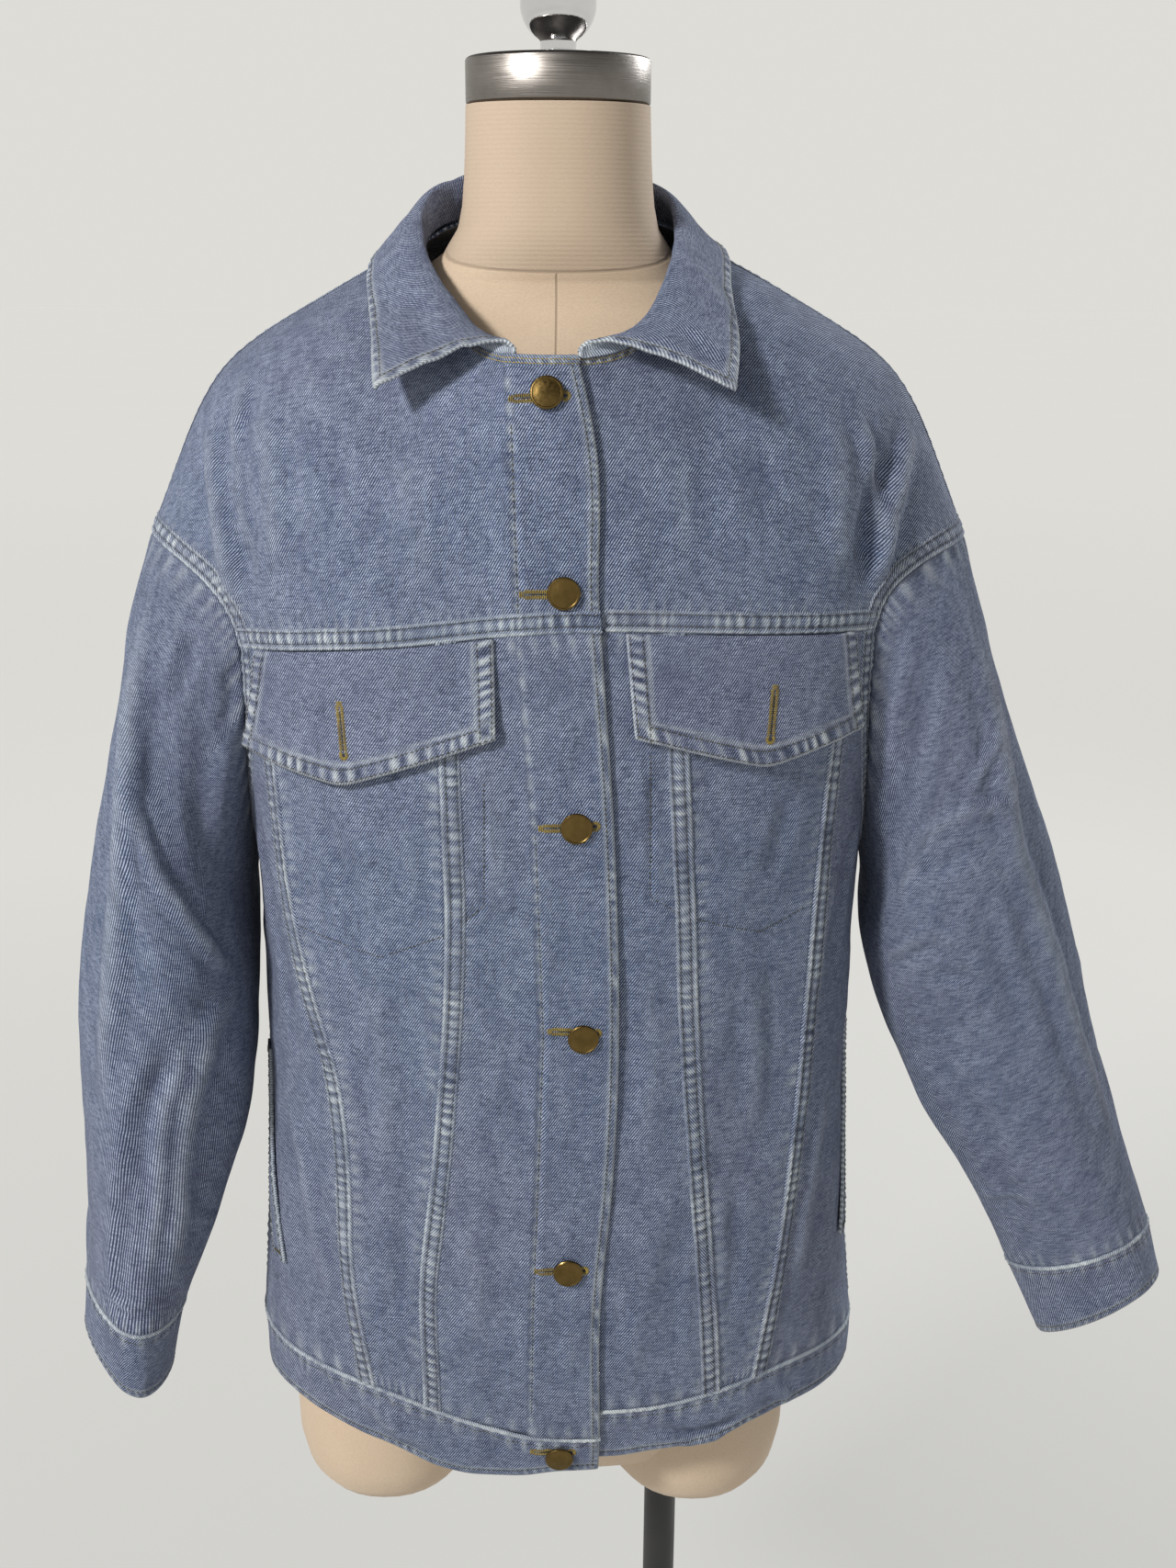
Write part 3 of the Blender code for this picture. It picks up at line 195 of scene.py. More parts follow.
def nextRow(bm, row, first, done, ring):
    # the row of points beyond a row, whichever way its cells are split in two
    fresh = [first]
    pairs = list(zip(row, row[1:] + row[:1])) if ring else list(zip(row, row[1:]))
    for near, far in pairs:
        edge = bm.edges.get((near, far))
        face = next((f for f in edge.link_faces if f not in done), None)
        if face is None:
            return None
        done.add(face)
        third = thirdVertex(face, edge)
        if third is fresh[-1]:
            diagonal = bm.edges.get((far, third))
        else:
            diagonal = bm.edges.get((near, third))
            if fresh[-1] not in {v for f in diagonal.link_faces for v in f.verts}:
                return None
        beyond = next((f for f in diagonal.link_faces if f is not face), None)
        if beyond is None or beyond in done:
            return None
        done.add(beyond)
        fresh.append(thirdVertex(beyond, diagonal) if third is fresh[-1] else third)
    if ring:
        return fresh[:-1] if fresh[-1] is fresh[0] else None
    return fresh


def patchRows(bm, rows, columns):
    loop = boundaryLoops(bm)[0]
    count = len(loop)
    if count != 2 * (rows + columns - 2):
        raise ValueError(f"a patch has {count} points round it, and not {2 * (rows + columns - 2)}")
    places = [vert.co for vert in loop]
    turns = []
    for index in range(count):
        before = places[index] - places[index - 1]
        turns.append(before.angle(places[(index + 1) % count] - places[index]))
    best = None
    for start in range(count):
        for first, second in ((columns - 1, rows - 1), (rows - 1, columns - 1)):
            corners = (0, first, first + second, 2 * first + second)
            score = sum(turns[(start + corner) % count] for corner in corners)
            if best is None or score > best[0]:
                best = (score, start, first, second)
    _, start, first, second = best
    grid = [[loop[(start + step) % count] for step in range(first + 1)]]
    done = set()
    for step in range(1, second + 1):
        grid.append(nextRow(bm, grid[-1], loop[start - step], done, False))
    return grid if first == columns - 1 else [list(row) for row in zip(*grid)]


def ringRows(bm, rows, node):
    loop = max(boundaryLoops(bm), key=lambda verts: sum(vert.co.z for vert in verts) / len(verts))
    start = max(range(len(loop)), key=lambda index: loop[index].co.z)
    loop = loop[start:] + loop[:start]
    if loop[len(loop) // 4].co.y > loop[-len(loop) // 4].co.y:
        loop = loop[:1] + loop[:0:-1]  # down the front, then up the back
    grid, done = [loop], set()
    for _ in range(rows - 1):
        row = grid[-1]
        around = (row[1].co - row[-1].co).normalized()
        seen = {vert for old in grid for vert in old}
        choices = [edge.other_vert(row[0]) for edge in row[0].link_edges]
        choices = [vert for vert in choices if vert not in seen]
        for choice in sorted(choices, key=lambda vert: abs((vert.co - row[0].co).dot(around))):
            trial = set(done)
            fresh = nextRow(bm, row, choice, trial, True)
            if fresh:
                done = trial
                grid.append(fresh)
                break
        else:
            raise ValueError(f"no row beyond row {len(grid)} of {node}")
    return grid


def rowSize(node, row):
    # rows go up a piece, and out from the neck on the collar
    return sum(vert.co.x**2 + vert.co.y**2 if node == "collar" else vert.co.z for vert in row)


def fineSheet(node, rows, columns, rim, ring):
    # a copy of the outer side of a node, made finer; gives its object and the grid of its points
    bm = bmesh.new()
    bm.from_mesh(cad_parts[node].data)
    words = ("gridRow", "gridColumn", "gridCosine", "gridSine")
    layers = [bm.verts.layers.float.new(word) for word in words]
    keepOuterSide(bm, node, rim)
    if ring:
        grid = ringRows(bm, rows, node)
    else:
        grid = patchRows(bm, rows, columns)
        if rowSize(node, grid[0]) > rowSize(node, grid[-1]):
            grid.reverse()
        if sum(row[0].co.x for row in grid) > sum(row[-1].co.x for row in grid):
            grid = [row[::-1] for row in grid]
    width, keep = len(grid[0]), set()
    for i, row in enumerate(grid):
        for j, vert in enumerate(row):
            if ring or j + 1 < width:
                keep.add(bm.edges.get((vert, row[(j + 1) % width])))
            if i + 1 < len(grid):
                keep.add(bm.edges.get((vert, grid[i + 1][j])))
            turn = math.tau * j / width
            for layer, value in zip(layers, (i, j, math.cos(turn), math.sin(turn))):
                vert[layer] = value
    bmesh.ops.dissolve_edges(bm, edges=[edge for edge in bm.edges if edge not in keep], use_verts=False)
    piece = addObject(node + "Cloth", meshFrom(bm, node + "Cloth"))
    finer = piece.modifiers.new("finer", "SUBSURF")
    finer.levels = finer.render_levels = clothSettings["finer"]
    finer.boundary_smooth = "PRESERVE_CORNERS"
    fine = piece.data = applied(piece)
    values = np.zeros((len(words), len(fine.vertices)), np.float32)
    for word, row in zip(words, values):
        fine.attributes[word].data.foreach_get("value", row)
        fine.attributes.remove(fine.attributes[word])
    scale = 2 ** clothSettings["finer"]
    i, j = np.rint(values[:2] * scale).astype(int)
    if ring:
        turn = np.arctan2(values[3], values[2]) / math.tau
        j = np.rint(turn * width * scale).astype(int) % (width * scale)
    index = np.full((i.max() + 1, j.max() + 1), -1)
    index[i, j] = np.arange(len(i))
    if (index < 0).any():
        raise ValueError(f"{node}: {int((index < 0).sum())} places of the grid have no point")
    points = np.zeros(len(fine.vertices) * 3)
    fine.vertices.foreach_get("co", points)
    sheet = {"piece": piece, "node": node, "ring": ring, "index": index}
    sheet.update(points=points.reshape(-1, 3)[index], lift=0.0, wear=0.0, shade=0.0, strips=[])
    measureSheet(sheet)
    sheet["weave"] = layWeave(sheet)  # before any fold, so that folds don't bend the twill
    return sheet


def measureSheet(sheet):
    # normals and lengths along and across the cloth
    points, ring = sheet["points"], sheet["ring"]
    if ring:
        around = np.roll(points, -1, axis=1) - np.roll(points, 1, axis=1)
    else:
        around = np.gradient(points, axis=1)
    normals = unitRows(np.cross(around, np.gradient(points, axis=0)))
    facing = np.sum(normals * (points - insidePoints(sheet["node"], points)), axis=-1)
    sheet["flip"] = -1.0 if np.median(facing) < 0 else 1.0
    sheet["normals"] = normals * sheet["flip"]
    sheet["across"], sheet["down"] = lengthsAlong(points, 1), lengthsAlong(points, 0)
    sheet["around"] = sheet["across"][:, -1]
    if ring:
        sheet["around"] = sheet["around"] + np.linalg.norm(points[:, 0] - points[:, -1], axis=-1)


def edgeDistance(sheet, edge):
    if edge == "highX":
        return sheet["around"][:, None] - sheet["across"]
    if edge == "top":
        return sheet["down"][-1][None, :] - sheet["down"]
    return sheet["across" if edge == "lowX" else "down"]


def edgeRun(sheet, edge):
    # distances in from an edge, lengths along it, and what spreads a row of values over the piece
    upright = edge in ("lowX", "highX")
    along = sheet["down"].mean(axis=1) if upright else sheet["across"].mean(axis=0)
    spread = (lambda row: row[:, None]) if upright else (lambda row: row[None, :])
    return edgeDistance(sheet, edge), along, spread


def pushOut(sheet, lift):
    # moves the cloth along its normals
    sheet["points"] = sheet["points"] + sheet["normals"] * lift[..., None]
    measureSheet(sheet)


def mark(sheet, word, values):
    # wear shows paler, and painted shade darker
    sheet[word] = np.maximum(sheet[word], values)


def evenMap(points, way):
    # lengths along one direction of the cloth, spread as evenly as its shape allows
    across, along = np.diff(points, axis=1), np.diff(points, axis=0)
    wide = np.linalg.norm(np.gradient(points, axis=1), axis=-1) + 1e-7
    tall = np.linalg.norm(np.gradient(points, axis=0), axis=-1) + 1e-7
    pullAcross = ((tall / wide)[:, 1:] + (tall / wide)[:, :-1]) / 2
    pullAlong = ((wide / tall)[1:] + (wide / tall)[:-1]) / 2

    def gather(first, second):
        first, second = first * pullAcross, second * pullAlong
        total = np.zeros(points.shape[:2])
        total[:, 1:] += first
        total[:, :-1] -= first
        total[1:] += second
        total[:-1] -= second
        return total

    def spread(values):
        return gather(np.diff(values, axis=1), np.diff(values, axis=0))

    values = np.cumsum(np.pad(np.sum(across * way[:, 1:], axis=-1), ((0, 0), (1, 0))), axis=1)
    middle = values.shape[1] // 2
    climb = np.cumsum(np.pad(np.sum(along[:, middle] * way[1:, middle], axis=-1), (1, 0)))
    values += (climb - values[:, middle])[:, None]
    wantedAcross = np.sum(across * (way[:, 1:] + way[:, :-1]) / 2, axis=-1)
    wantedAlong = np.sum(along * (way[1:] + way[:-1]) / 2, axis=-1)
    left = gather(wantedAcross, wantedAlong) - spread(values)
    step, size = left.copy(), float((left * left).sum())
    for _ in range(clothSettings["mapSteps"]):
        if size < 1e-16:
            break
        pushed = spread(step)
        share = size / float((step * pushed).sum())
        values += share * step
        left -= share * pushed
        fresh = float((left * left).sum())
        step = left + step * (fresh / size)
        size = fresh
    return values


def tubeMap(points, normals, up):
    # the weave of a sleeve, laid round the plain oval tube that fits it
    back = unitRows(np.array((0.0, 1.0, 0.0)) - up * up[1])
    side = np.cross(back, up)
    height = points @ up
    rows = height[:, :-1].mean(axis=1)

    def fitted(values, degree):
        return np.polyval(np.polyfit(rows, values, degree), height)

    centre = points[:, :-1].mean(axis=1)
    apart = points - np.stack([fitted(centre[:, axis], 2) for axis in range(3)], axis=-1)
    spans = [fitted(np.sqrt(2.0 * np.mean((apart[:, :-1] @ way) ** 2, axis=1)), 1) for way in (side, back)]
    turn = np.unwrap(np.arctan2((apart @ back) / spans[1], (apart @ side) / spans[0]), axis=1)
    middle = points.shape[1] // 2
    turn += (np.unwrap(turn[:, middle]) - turn[:, middle])[:, None]
    wide, deep = spans[0].mean(), spans[1].mean()
    angles = np.linspace(0.0, math.tau, 721)
    arc = np.cumsum(np.hypot(wide * np.sin(angles), deep * np.cos(angles))) * (angles[1] - angles[0])
    arc -= arc[0]
    laps = np.floor(turn / math.tau)
    across = np.interp(turn - laps * math.tau, angles, arc) + laps * arc[-1]
    across *= fitted(lengthsAlong(points, 1)[:, -1], 1) / arc[-1]
    facing = np.sum(np.cross(up, normals[:, :-1]) * np.diff(points, axis=1))
    return np.sign(facing * (across[:, -1] - across[:, 0]).sum()) * across, height


def layWeave(sheet):
    # the weave's map in metres: the warp runs up the piece, and the twill leans the same way everywhere
    node, points, normals, start = sheet["node"], sheet["points"], sheet["normals"], 0
    if node == "collar":  # each end keeps its own straight grain
        first, share = clothSettings["collarTurn"]
        turn = ease((np.arange(points.shape[1]) / points.shape[1] - first) / share)
        fromEnd = sheet["across"] - sheet["around"][:, None]
        u = sheet["across"] * (1 - turn) + (fromEnd + sheet["around"].mean()) * turn
        return u * sheet["flip"], sheet["down"], start
    if sheet["ring"]:
        start = points.shape[1] // 2
        points, normals = (closeRing(np.roll(values, -start, axis=1)) for values in (points, normals))
    if "yoke" in node:  # keeps its grain over the shoulder
        side = np.array((-1.0 if "back" in node else 1.0, 0.0, 0.0))
        across = unitRows(side - normals * (normals @ side)[..., None])
        return evenMap(points, across), evenMap(points, np.cross(normals, across)), start
    up = np.array((0.0, 0.0, 1.0))
    if node in armLines:
        line = np.array(armLines[node])
        up = unitRows(line[0] - line[-1])
        if "sleeve" in node:
            return *tubeMap(points, normals, up), start
    up = unitRows(up - normals * (normals @ up)[..., None])
    return evenMap(points, np.cross(up, normals)), evenMap(points, up), start


def cornerVerts(mesh):
    corners = np.zeros(len(mesh.loops), int)
    mesh.loops.foreach_get("vertex_index", corners)
    return corners


def layMap(mesh, u, v):
    mesh.uv_layers.new(name="cloth").data.foreach_set("uv", np.column_stack((u, v)).ravel())


def flatSize(sheet):
    # the yokes bend over the shoulder, so theirs is read from the weave laid flat
    if "yoke" in sheet["node"]:
        sizes = (np.ptp(values) for values in sheet["weave"][:2])
    else:
        sizes = (sheet["around"].max(), sheet["down"][-1].max())
    return [float(size) + clothSettings["sizeMargin"] for size in sizes]


def finishSheet(sheet, slot, wall):
    # writes the moved points back, lays the weave's map on them, and gives the cloth its thickness
    piece, index = sheet["piece"], sheet["index"]
    mesh = piece.data
    count = len(mesh.vertices)
    places = np.zeros((count, 3))
    places[index] = sheet["points"]
    mesh.vertices.foreach_set("co", places.ravel())
    for word in ("wear", "shade"):
        values = np.zeros(count, np.float32)
        values[index] = np.clip(sheet[word] * np.ones(index.shape), 0, 1)
        mesh.attributes.new(word, "FLOAT", "POINT").data.foreach_set("value", values)
    rowOf, columnOf = np.zeros((2, count), int)
    rowOf[index], columnOf[index] = np.indices(index.shape)
    corners = cornerVerts(mesh)
    u, v, start = sheet["weave"]
    row, column = rowOf[corners], columnOf[corners]
    if sheet["ring"]:  # the map is cut open along the underarm
        width = index.shape[1]
        column = ((column - start) % width).reshape(-1, 4)
        closing = (column.max(axis=1) == width - 1)[:, None] & (column == 0)
        column = (column + closing * width).ravel()
    layMap(mesh, u[row, column], v[row, column])
    mesh.materials.clear()
    mesh.materials.append(finishes[slot])
    mesh.materials.append(denimInside)
    mesh.shade_smooth()
    face = mesh.polygons[len(mesh.polygons) // 2]
    if face.normal.dot(Vector(sheet["normals"][tuple(np.argwhere(index == face.vertices[0])[0])])) <= 0:
        mesh.flip_normals()
    thick = piece.modifiers.new("wall", "SOLIDIFY")
    thick.thickness = wall
    thick.offset = -1.0
    thick.use_rim = True
    thick.material_offset = 1
    thick.material_offset_rim = 0
    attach(piece, "root")
    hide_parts(sheet["node"])
    sheets[sheet["node"]] = sheet


def snapLine(sheet, view, line, steps=5):
    # a line drawn flat on one view of the object, laid on the sheet
    side = 1.0 if sheet["points"][..., 0].mean() > 0 else -1.0
    axes, facing = {
        "front": ((0, 2), (0, -1, 0)),
        "back": ((0, 2), (0, 1, 0)),
        "outside": ((1, 2), (side, 0, 0)),
    }[view]
    seen = sheet["normals"] @ np.array(facing) > 0.05
    if not seen.any():
        return None
    places = sheet["points"][seen]
    line = np.asarray(line, float)
    spans = zip(line, line[1:])
    found = [start + (end - start) * step / steps for start, end in spans for step in range(steps)]
    nearest = [np.argmin(np.sum((places[:, axes] - place) ** 2, axis=1)) for place in [*found, line[-1]]]
    return places[nearest]


creaseSettings = {
    "gain": 1.70,
    "fadeIn": 0.22,  # shares of its length over which a crease comes and goes
    "fadeOut": 0.30,
    "hollow": 0.5,  # the softer hollows beside it, by its depth and width
    "hollowWidth": 2.6,
    "wornWidth": 0.55,
    "wear": 0.16,
    "fullWear": 0.004,  # depth from which a ridge is worn all the way
    # strength of the painted shade in a trough
    "shade": 0.22,
}


def addCrease(sheet, view, line, width, depth):
    # a ridge (+) or trough (-) that fades at both ends; the ridge shows wear and the trough painted shade
    cut = creaseSettings
    placed = snapLine(sheet, view, line)
    if placed is None:
        return
    _, distance, along = nearestOnLine(sheet["points"], placed)
    fade = ease(along / cut["fadeIn"]) * ease((1 - along) / cut["fadeOut"])
    shape = hump(distance / width) - cut["hollow"] * hump(distance / (cut["hollowWidth"] * width))
    sheet["lift"] = sheet["lift"] + cut["gain"] * depth * shape * fade
    worn = hump(distance / (cut["wornWidth"] * width)) * fade
    if depth > 0:
        mark(sheet, "wear", cut["wear"] * worn * min(depth / cut["fullWear"], 1.0))
    # painted shade along the trough
    else:
        mark(sheet, "shade", cut["shade"] * worn)


def roughenSheet(sheet, size, broad, fine):
    # uneven all over, with each piece's own pattern
    seed = sum(map(ord, sheet["node"])) % 97
    field = softNoise(sheet["points"], seed, broad) + 0.35 * softNoise(sheet["points"], seed + 3, fine)
    sheet["lift"] = sheet["lift"] + size * field


def applyLift(sheet, held, hold):
    # the cloth is held where it is sewn
    lift = sheet["lift"] * np.ones(sheet["index"].shape)
    for edge in held:
        lift = lift * ease(edgeDistance(sheet, edge) / hold)
    pushOut(sheet, lift)


puckerSettings = {
    "pitch": 0.0062,  # two stitches
    "drift": (4.5, 0.022),  # how far the puckers wander, and over what length
    "swell": (1.3, 0.018),
    "swellRange": (0.1, 1.5),
    "lean": 1.8,
    "uneven": 0.010,
}


def puckerRow(along, seed, pitch, mean):
    # phase and swell of the puckers along a row of stitches
    cut = puckerSettings
    (drift, driftLength), (swell, swellLength) = cut["drift"], cut["swell"]
    phase = math.tau * along / pitch + drift * waverRow(along, seed, driftLength)
    return phase, np.clip(mean + swell * waverRow(along, seed + 2, swellLength), *cut["swellRange"])


borderSettings = {
    "swell": 0.75,
    "uneven": 0.6,
    "edge": 0.0018,  # the width over which the folded edge rises
    "roll": 0.0022,
    "pucker": 0.0008,
    "groove": (0.92, 0.0016, 0.00025),  # the stitches' furrow: place, width and depth
    "worn": (1.12, 0.0018, 0.30),  # the rubbed line past it: place, width and strength
    "wornEdge": (0.0013, 0.62),
}


def edgeBand(sheet, edge, width, rise, seed, pucker, roll, pitch=None):
    # a folded and stitched border on the piece itself: a low step, with a pucker at every other stitch, and
    # painted shade in its groove and pucker troughs
    cut = borderSettings
    distance, along, spread = edgeRun(sheet, edge)
    phase, swell = puckerRow(along, seed, pitch or puckerSettings["pitch"], cut["swell"])
    wave = spread(swell) * np.sin(spread(phase) + puckerSettings["lean"] * distance / width)
    wave = wave + spread(cut["uneven"] * waverRow(along, seed + 4, puckerSettings["uneven"]))
    step = ease((width - distance) / cut["edge"] + 0.5)
    inside = hump((distance - 0.5 * width) / (0.62 * width))
    place, reach, depth = cut["groove"]
    groove = hump((distance - place * width) / reach)
    lift = rise * step * (1 + 0.25 * wave) + pucker * cut["pucker"] * wave * inside - depth * groove
    lift = lift - roll * ease(1 - distance / cut["roll"])
    reach, strength = cut["wornEdge"]
    pale = strength * ease(1.15 - distance / reach) + pucker * 1.5 * inside * np.clip(wave, 0, 1)
    place, reach, strength = cut["worn"]
    pale = pale + strength * hump((distance - place * width) / reach)
    mark(sheet, "wear", np.clip(pale, 0, 1))
    # painted shade in the stitches' groove and in the troughs between puckers
    dark = np.maximum(0.85 * groove, pucker * 1.8 * inside * np.clip(-wave, 0, 1))
    mark(sheet, "shade", np.clip(dark, 0, 1))
    pushOut(sheet, lift)


rippleSettings = {
    "drift": (4.5, 0.05),  # how far the ripples wander, and over what length
    "least": 0.55,
    "swell": (0.9, 0.04),
    "start": 0.004,
    "wear": 0.5,
    "shade": 0.4,
}


def ripples(sheet, edge, reach, size, pitch, seed):
    # short ripples that run in from a gathered seam, with painted shade in their troughs
    cut = rippleSettings
    (drift, driftLength), (swell, swellLength) = cut["drift"], cut["swell"]
    distance, along, spread = edgeRun(sheet, edge)
    wave = np.sin(math.tau * along / pitch + drift * plainRow(along / driftLength, seed))
    wave = spread(wave * (cut["least"] + swell * np.abs(waverRow(along, seed + 5, swellLength))))
    fade = ease(distance / cut["start"]) * ease(1 - distance / reach)
    mark(sheet, "wear", cut["wear"] * np.clip(wave, 0, 1) * fade)
    # painted shade in the ripples' troughs
    mark(sheet, "shade", cut["shade"] * np.clip(-wave, 0, 1) * fade)
    pushOut(sheet, size * wave * fade)


frontEdge = {
    # the facing's stitch line on the right front
    "height": (0.660, 0.720, 0.798, 0.872, 0.972, 1.096, 1.205, 1.310, 1.337),
    "facing": (-0.0150, -0.0140, -0.0125, -0.0095, -0.0060, -0.0100, -0.0180, -0.0220, -0.0240),
    "pitch": 0.0085,
    "drift": (3.0, 0.03),
    "step": (0.00040, 0.0010, 0.0026),  # height, how far it starts before the line, width
    "ridge": (0.00022, 0.0006, 0.0030),
    # the furrow is a painted shadow beside the step
    "furrow": (0.55, 0.0022, 0.0018),  # strength of the dark line beside it, place, width
}


def facingStep(sheet):
    # the folded facing behind the free edge shows as a low step along its stitches, with a painted shadow
    # beside it
    places = sheet["points"]
    inwards = places[..., 0] - np.interp(places[..., 2], frontEdge["height"], frontEdge["facing"])
    heights = places[..., 2].mean(axis=1)
    drift, length = frontEdge["drift"]
    wave = np.sin(math.tau * heights / frontEdge["pitch"] + drift * plainRow(heights / length, 5.0))[:, None]
    size, before, width = frontEdge["ridge"]
    near = hump((inwards + before) / width)
    ridge = size * near * (1 + 0.5 * wave)
    size, before, width = frontEdge["step"]
    step = size * ease((inwards + before) / width)
    strength, before, width = frontEdge["furrow"]
    mark(sheet, "wear", 0.22 * near * np.clip(0.6 + wave, 0, 1.4))
    # painted shadow along the low side of the step
    mark(sheet, "shade", strength * hump((inwards + before) / width))
    pushOut(sheet, step + ridge)


stitchLines = []  # every row of stitches: points, normals, thread, pitch
looseStitches = []  # single stitches: start, end, normal, thread


def rail(sheet, edge):
    # the cloth's points in rows along an edge, each row going inwards from it
    both = [sheet["points"], sheet["normals"]]
    if edge == "highX":
        both = [values[:, ::-1] for values in both]
    elif edge == "foot":
        both = [values.swapaxes(0, 1) for values in both]
    elif edge == "top":
        both = [values[::-1].swapaxes(0, 1) for values in both]
    if sheet["ring"]:
        both = [np.vstack((values, values[:1])) for values in both]
    return both


def railAt(points, normals, offsets):
    # places at given distances in from the edge; a negative one lies past it
    out, facing = [], []
    for places, ways, depth in zip(points, normals, lengthsAlong(points, 1)):
        inwards = places[1] - places[0]
        past = np.minimum(offsets, 0.0)[:, None]
        out.append(placesAt(offsets, depth, places) + past * inwards / max(np.linalg.norm(inwards), 1e-9))
        facing.append(placesAt(offsets, depth, ways))
    return np.array(out), unitRows(np.array(facing))


def evenly(points, normals, spacing, start=0.0, end=1.0):
    # takes rows of points at even distances along the first line
    length = lengthsAlong(points[:, 0])
    count = max(int((end - start) * length[-1] / spacing), 2)
    wanted = np.linspace(start * length[-1], end * length[-1], count + 1)
    points, normals = (
        placesAt(wanted, length, values.reshape(len(values), -1)).reshape(count + 1, -1, 3)
        for values in (points, normals)
    )
    return points, unitRows(normals), wanted


def ribbon(name, grid, wear, shade):
    # a strip through a grid of points: first index along it, second across it
    rows, columns = grid.shape[:2]
    bm = bmesh.new()
    bmesh.ops.create_grid(bm, x_segments=rows - 1, y_segments=columns - 1, size=0.5)
    layers = [bm.verts.layers.float.new(word) for word in ("wear", "shade")]
    for vert in bm.verts:
        i = round((vert.co.x + 0.5) * (rows - 1))
        j = round((vert.co.y + 0.5) * (columns - 1))
        vert.co = grid[i, j]
        vert[layers[0]], vert[layers[1]] = wear[i, j], shade[i, j]
    mesh = meshFrom(bm, name)
    mesh.materials.append(denimSeam)
    return mesh


def setStripMap(mesh, grid, edge):
    # the weave's map on a strip, in metres
    along, across = lengthsAlong(grid[:, 0]), lengthsAlong(grid[0])
    corners = cornerVerts(mesh)
    i, j = corners % len(grid), corners // len(grid)
    u, v = (across[j], along[i]) if edge in ("lowX", "highX") else (along[i], across[j])
    layMap(mesh, u, v)


seamShapes = {
    # across a seam: distance in from the cut edge and height in mm, wear, painted shade
    "felled": (
        (-1.8, -0.6, 0.0, 0.3), (-1.1, 0.6, 0.3, 0.0), (-0.1, 1.4, 0.8, 0.0), (1, 1.2, 0.3, 0.1),
        (2.4, 0.6, 0.0, 0.8), (4.4, 1.4, 0.16, 0.0), (6.6, 1.3, 0.12, 0.0), (8.4, 0.6, 0.0, 0.8),
        (9.6, 1.2, 0.36, 0.0), (10.4, 0.5, 0.3, 0.1), (11, -0.7, 0.0, 0.4),
    ),
    "binding": (
        (-2.2, -0.2, 0.2, 0.2), (-1.4, 0.7, 0.5, 0.1), (-0.2, 1, 0.3, 0.1), (1.6, 0.8, 0.1, 0.3),
        (3, 0.5, 0.1, 0.3), (3.8, -0.5, 0.1, 0.4),
    ),
    "narrow": (
        (-1.6, -0.6, 0.2, 0.3), (-1, 0.5, 0.9, 0.0), (0.2, 0.9, 0.9, 0.0), (1.4, 0.4, 0.4, 0.3),
        (2.2, -0.6, 0.1, 0.3),
    ),
}
seamSettings = {
    "spacing": 0.0020,
    "swell": 0.80,
    "uneven": 0.7,
    "pucker": 0.40,
    "drift": (0.00045, 0.05),  # how far a seam wanders sideways, and over what length
}


def feltSeam(name, sheet, edge, shape, height, span):
    # a sewn-down seam as a low strip along one edge of a piece
    cut, seed = seamSettings, len(name) + ord(name[-1])
    offsets, heights, worn, shaded = np.array(seamShapes[shape]).T
    offsets, heights = offsets / 1000, heights / 1000 * height
    points, normals = railAt(*rail(sheet, edge), offsets)
    points, normals, along = evenly(points, normals, cut["spacing"], *span)
    phase, swell = puckerRow(along, seed, puckerSettings["pitch"], cut["swell"])
    wave = swell[:, None] * np.sin(phase[:, None] + puckerSettings["lean"] * offsets / offsets[-1])
    wave = wave + cut["uneven"] * waverRow(along, seed + 6, puckerSettings["uneven"])[:, None]
    lift = heights + np.clip(heights, 0, None) * cut["pucker"] * wave
    drift = cut["drift"][0] * waverRow(along, seed + 9, cut["drift"][1])
    sideways = unitRows(points[:, -1] - points[:, 0])
    grid = points + normals * lift[..., None] + sideways[:, None] * drift[:, None, None]
    middle = hump((offsets / offsets[-1] - 0.5) / 0.46)
    patch = np.clip(0.75 + 0.9 * waverRow(along, seed + 4, 0.035), 0.2, 1.2)[:, None]  # uneven wash
    wear = worn * patch * (0.85 + 0.3 * wave) + 0.60 * middle * np.clip(wave, 0, 1.2)
    # painted shade in the stitch grooves and in the troughs between puckers
    shade = shaded * (1.0 - 0.2 * wave) + 0.90 * middle * np.clip(-wave, 0, 1.1)
    mesh = ribbon(name, grid, np.clip(wear, 0, 1), np.clip(shade, 0, 1))
    piece = addObject(name, mesh)
    setStripMap(mesh, grid, edge)
    if mesh.polygons[0].normal.dot(Vector(normals[0, 0])) < 0:
        mesh.flip_normals()
    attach(piece, "root")
    sheet["strips"].append(piece)
    return grid, normals, offsets


stitchSettings = {
    "pitch": 0.0031,
    "finePitch": 0.0022,  # of the ochre rows
    "radius": 0.00037,
    "shares": (0.10, 0.5, 0.86),  # where a stitch starts, peaks and ends
    "heights": (-0.00012, 0.00012, -0.00012),
    "thin": 0.55,  # its ends, by its middle
    "uneven": 0.06,
    "spacing": 0.002,
    "drawnSpacing": 0.003,
}


def stitchAlong(grid, normals, offsets, distance, thread):
    # one row of stitches on a seam's strip, at a distance in from the cut edge
    place, facing = (
        np.concatenate([placesAt(distance, offsets, row) for row in values]) for values in (grid, normals)
    )
    pitch = stitchSettings["finePitch" if thread == "ochre" else "pitch"]
    stitchLines.append((place, unitRows(facing), thread, pitch))


def stitchEdge(sheet, edge, distance, thread="olive", span=(0.0, 1.0)):
    # one row of stitches straight on a piece, at a distance in from its edge
    points, normals = railAt(*rail(sheet, edge), np.array([distance]))
    points, normals, _ = evenly(points, normals, stitchSettings["spacing"], *span)
    stitchLines.append((points[:, 0], normals[:, 0], thread, stitchSettings["pitch"]))


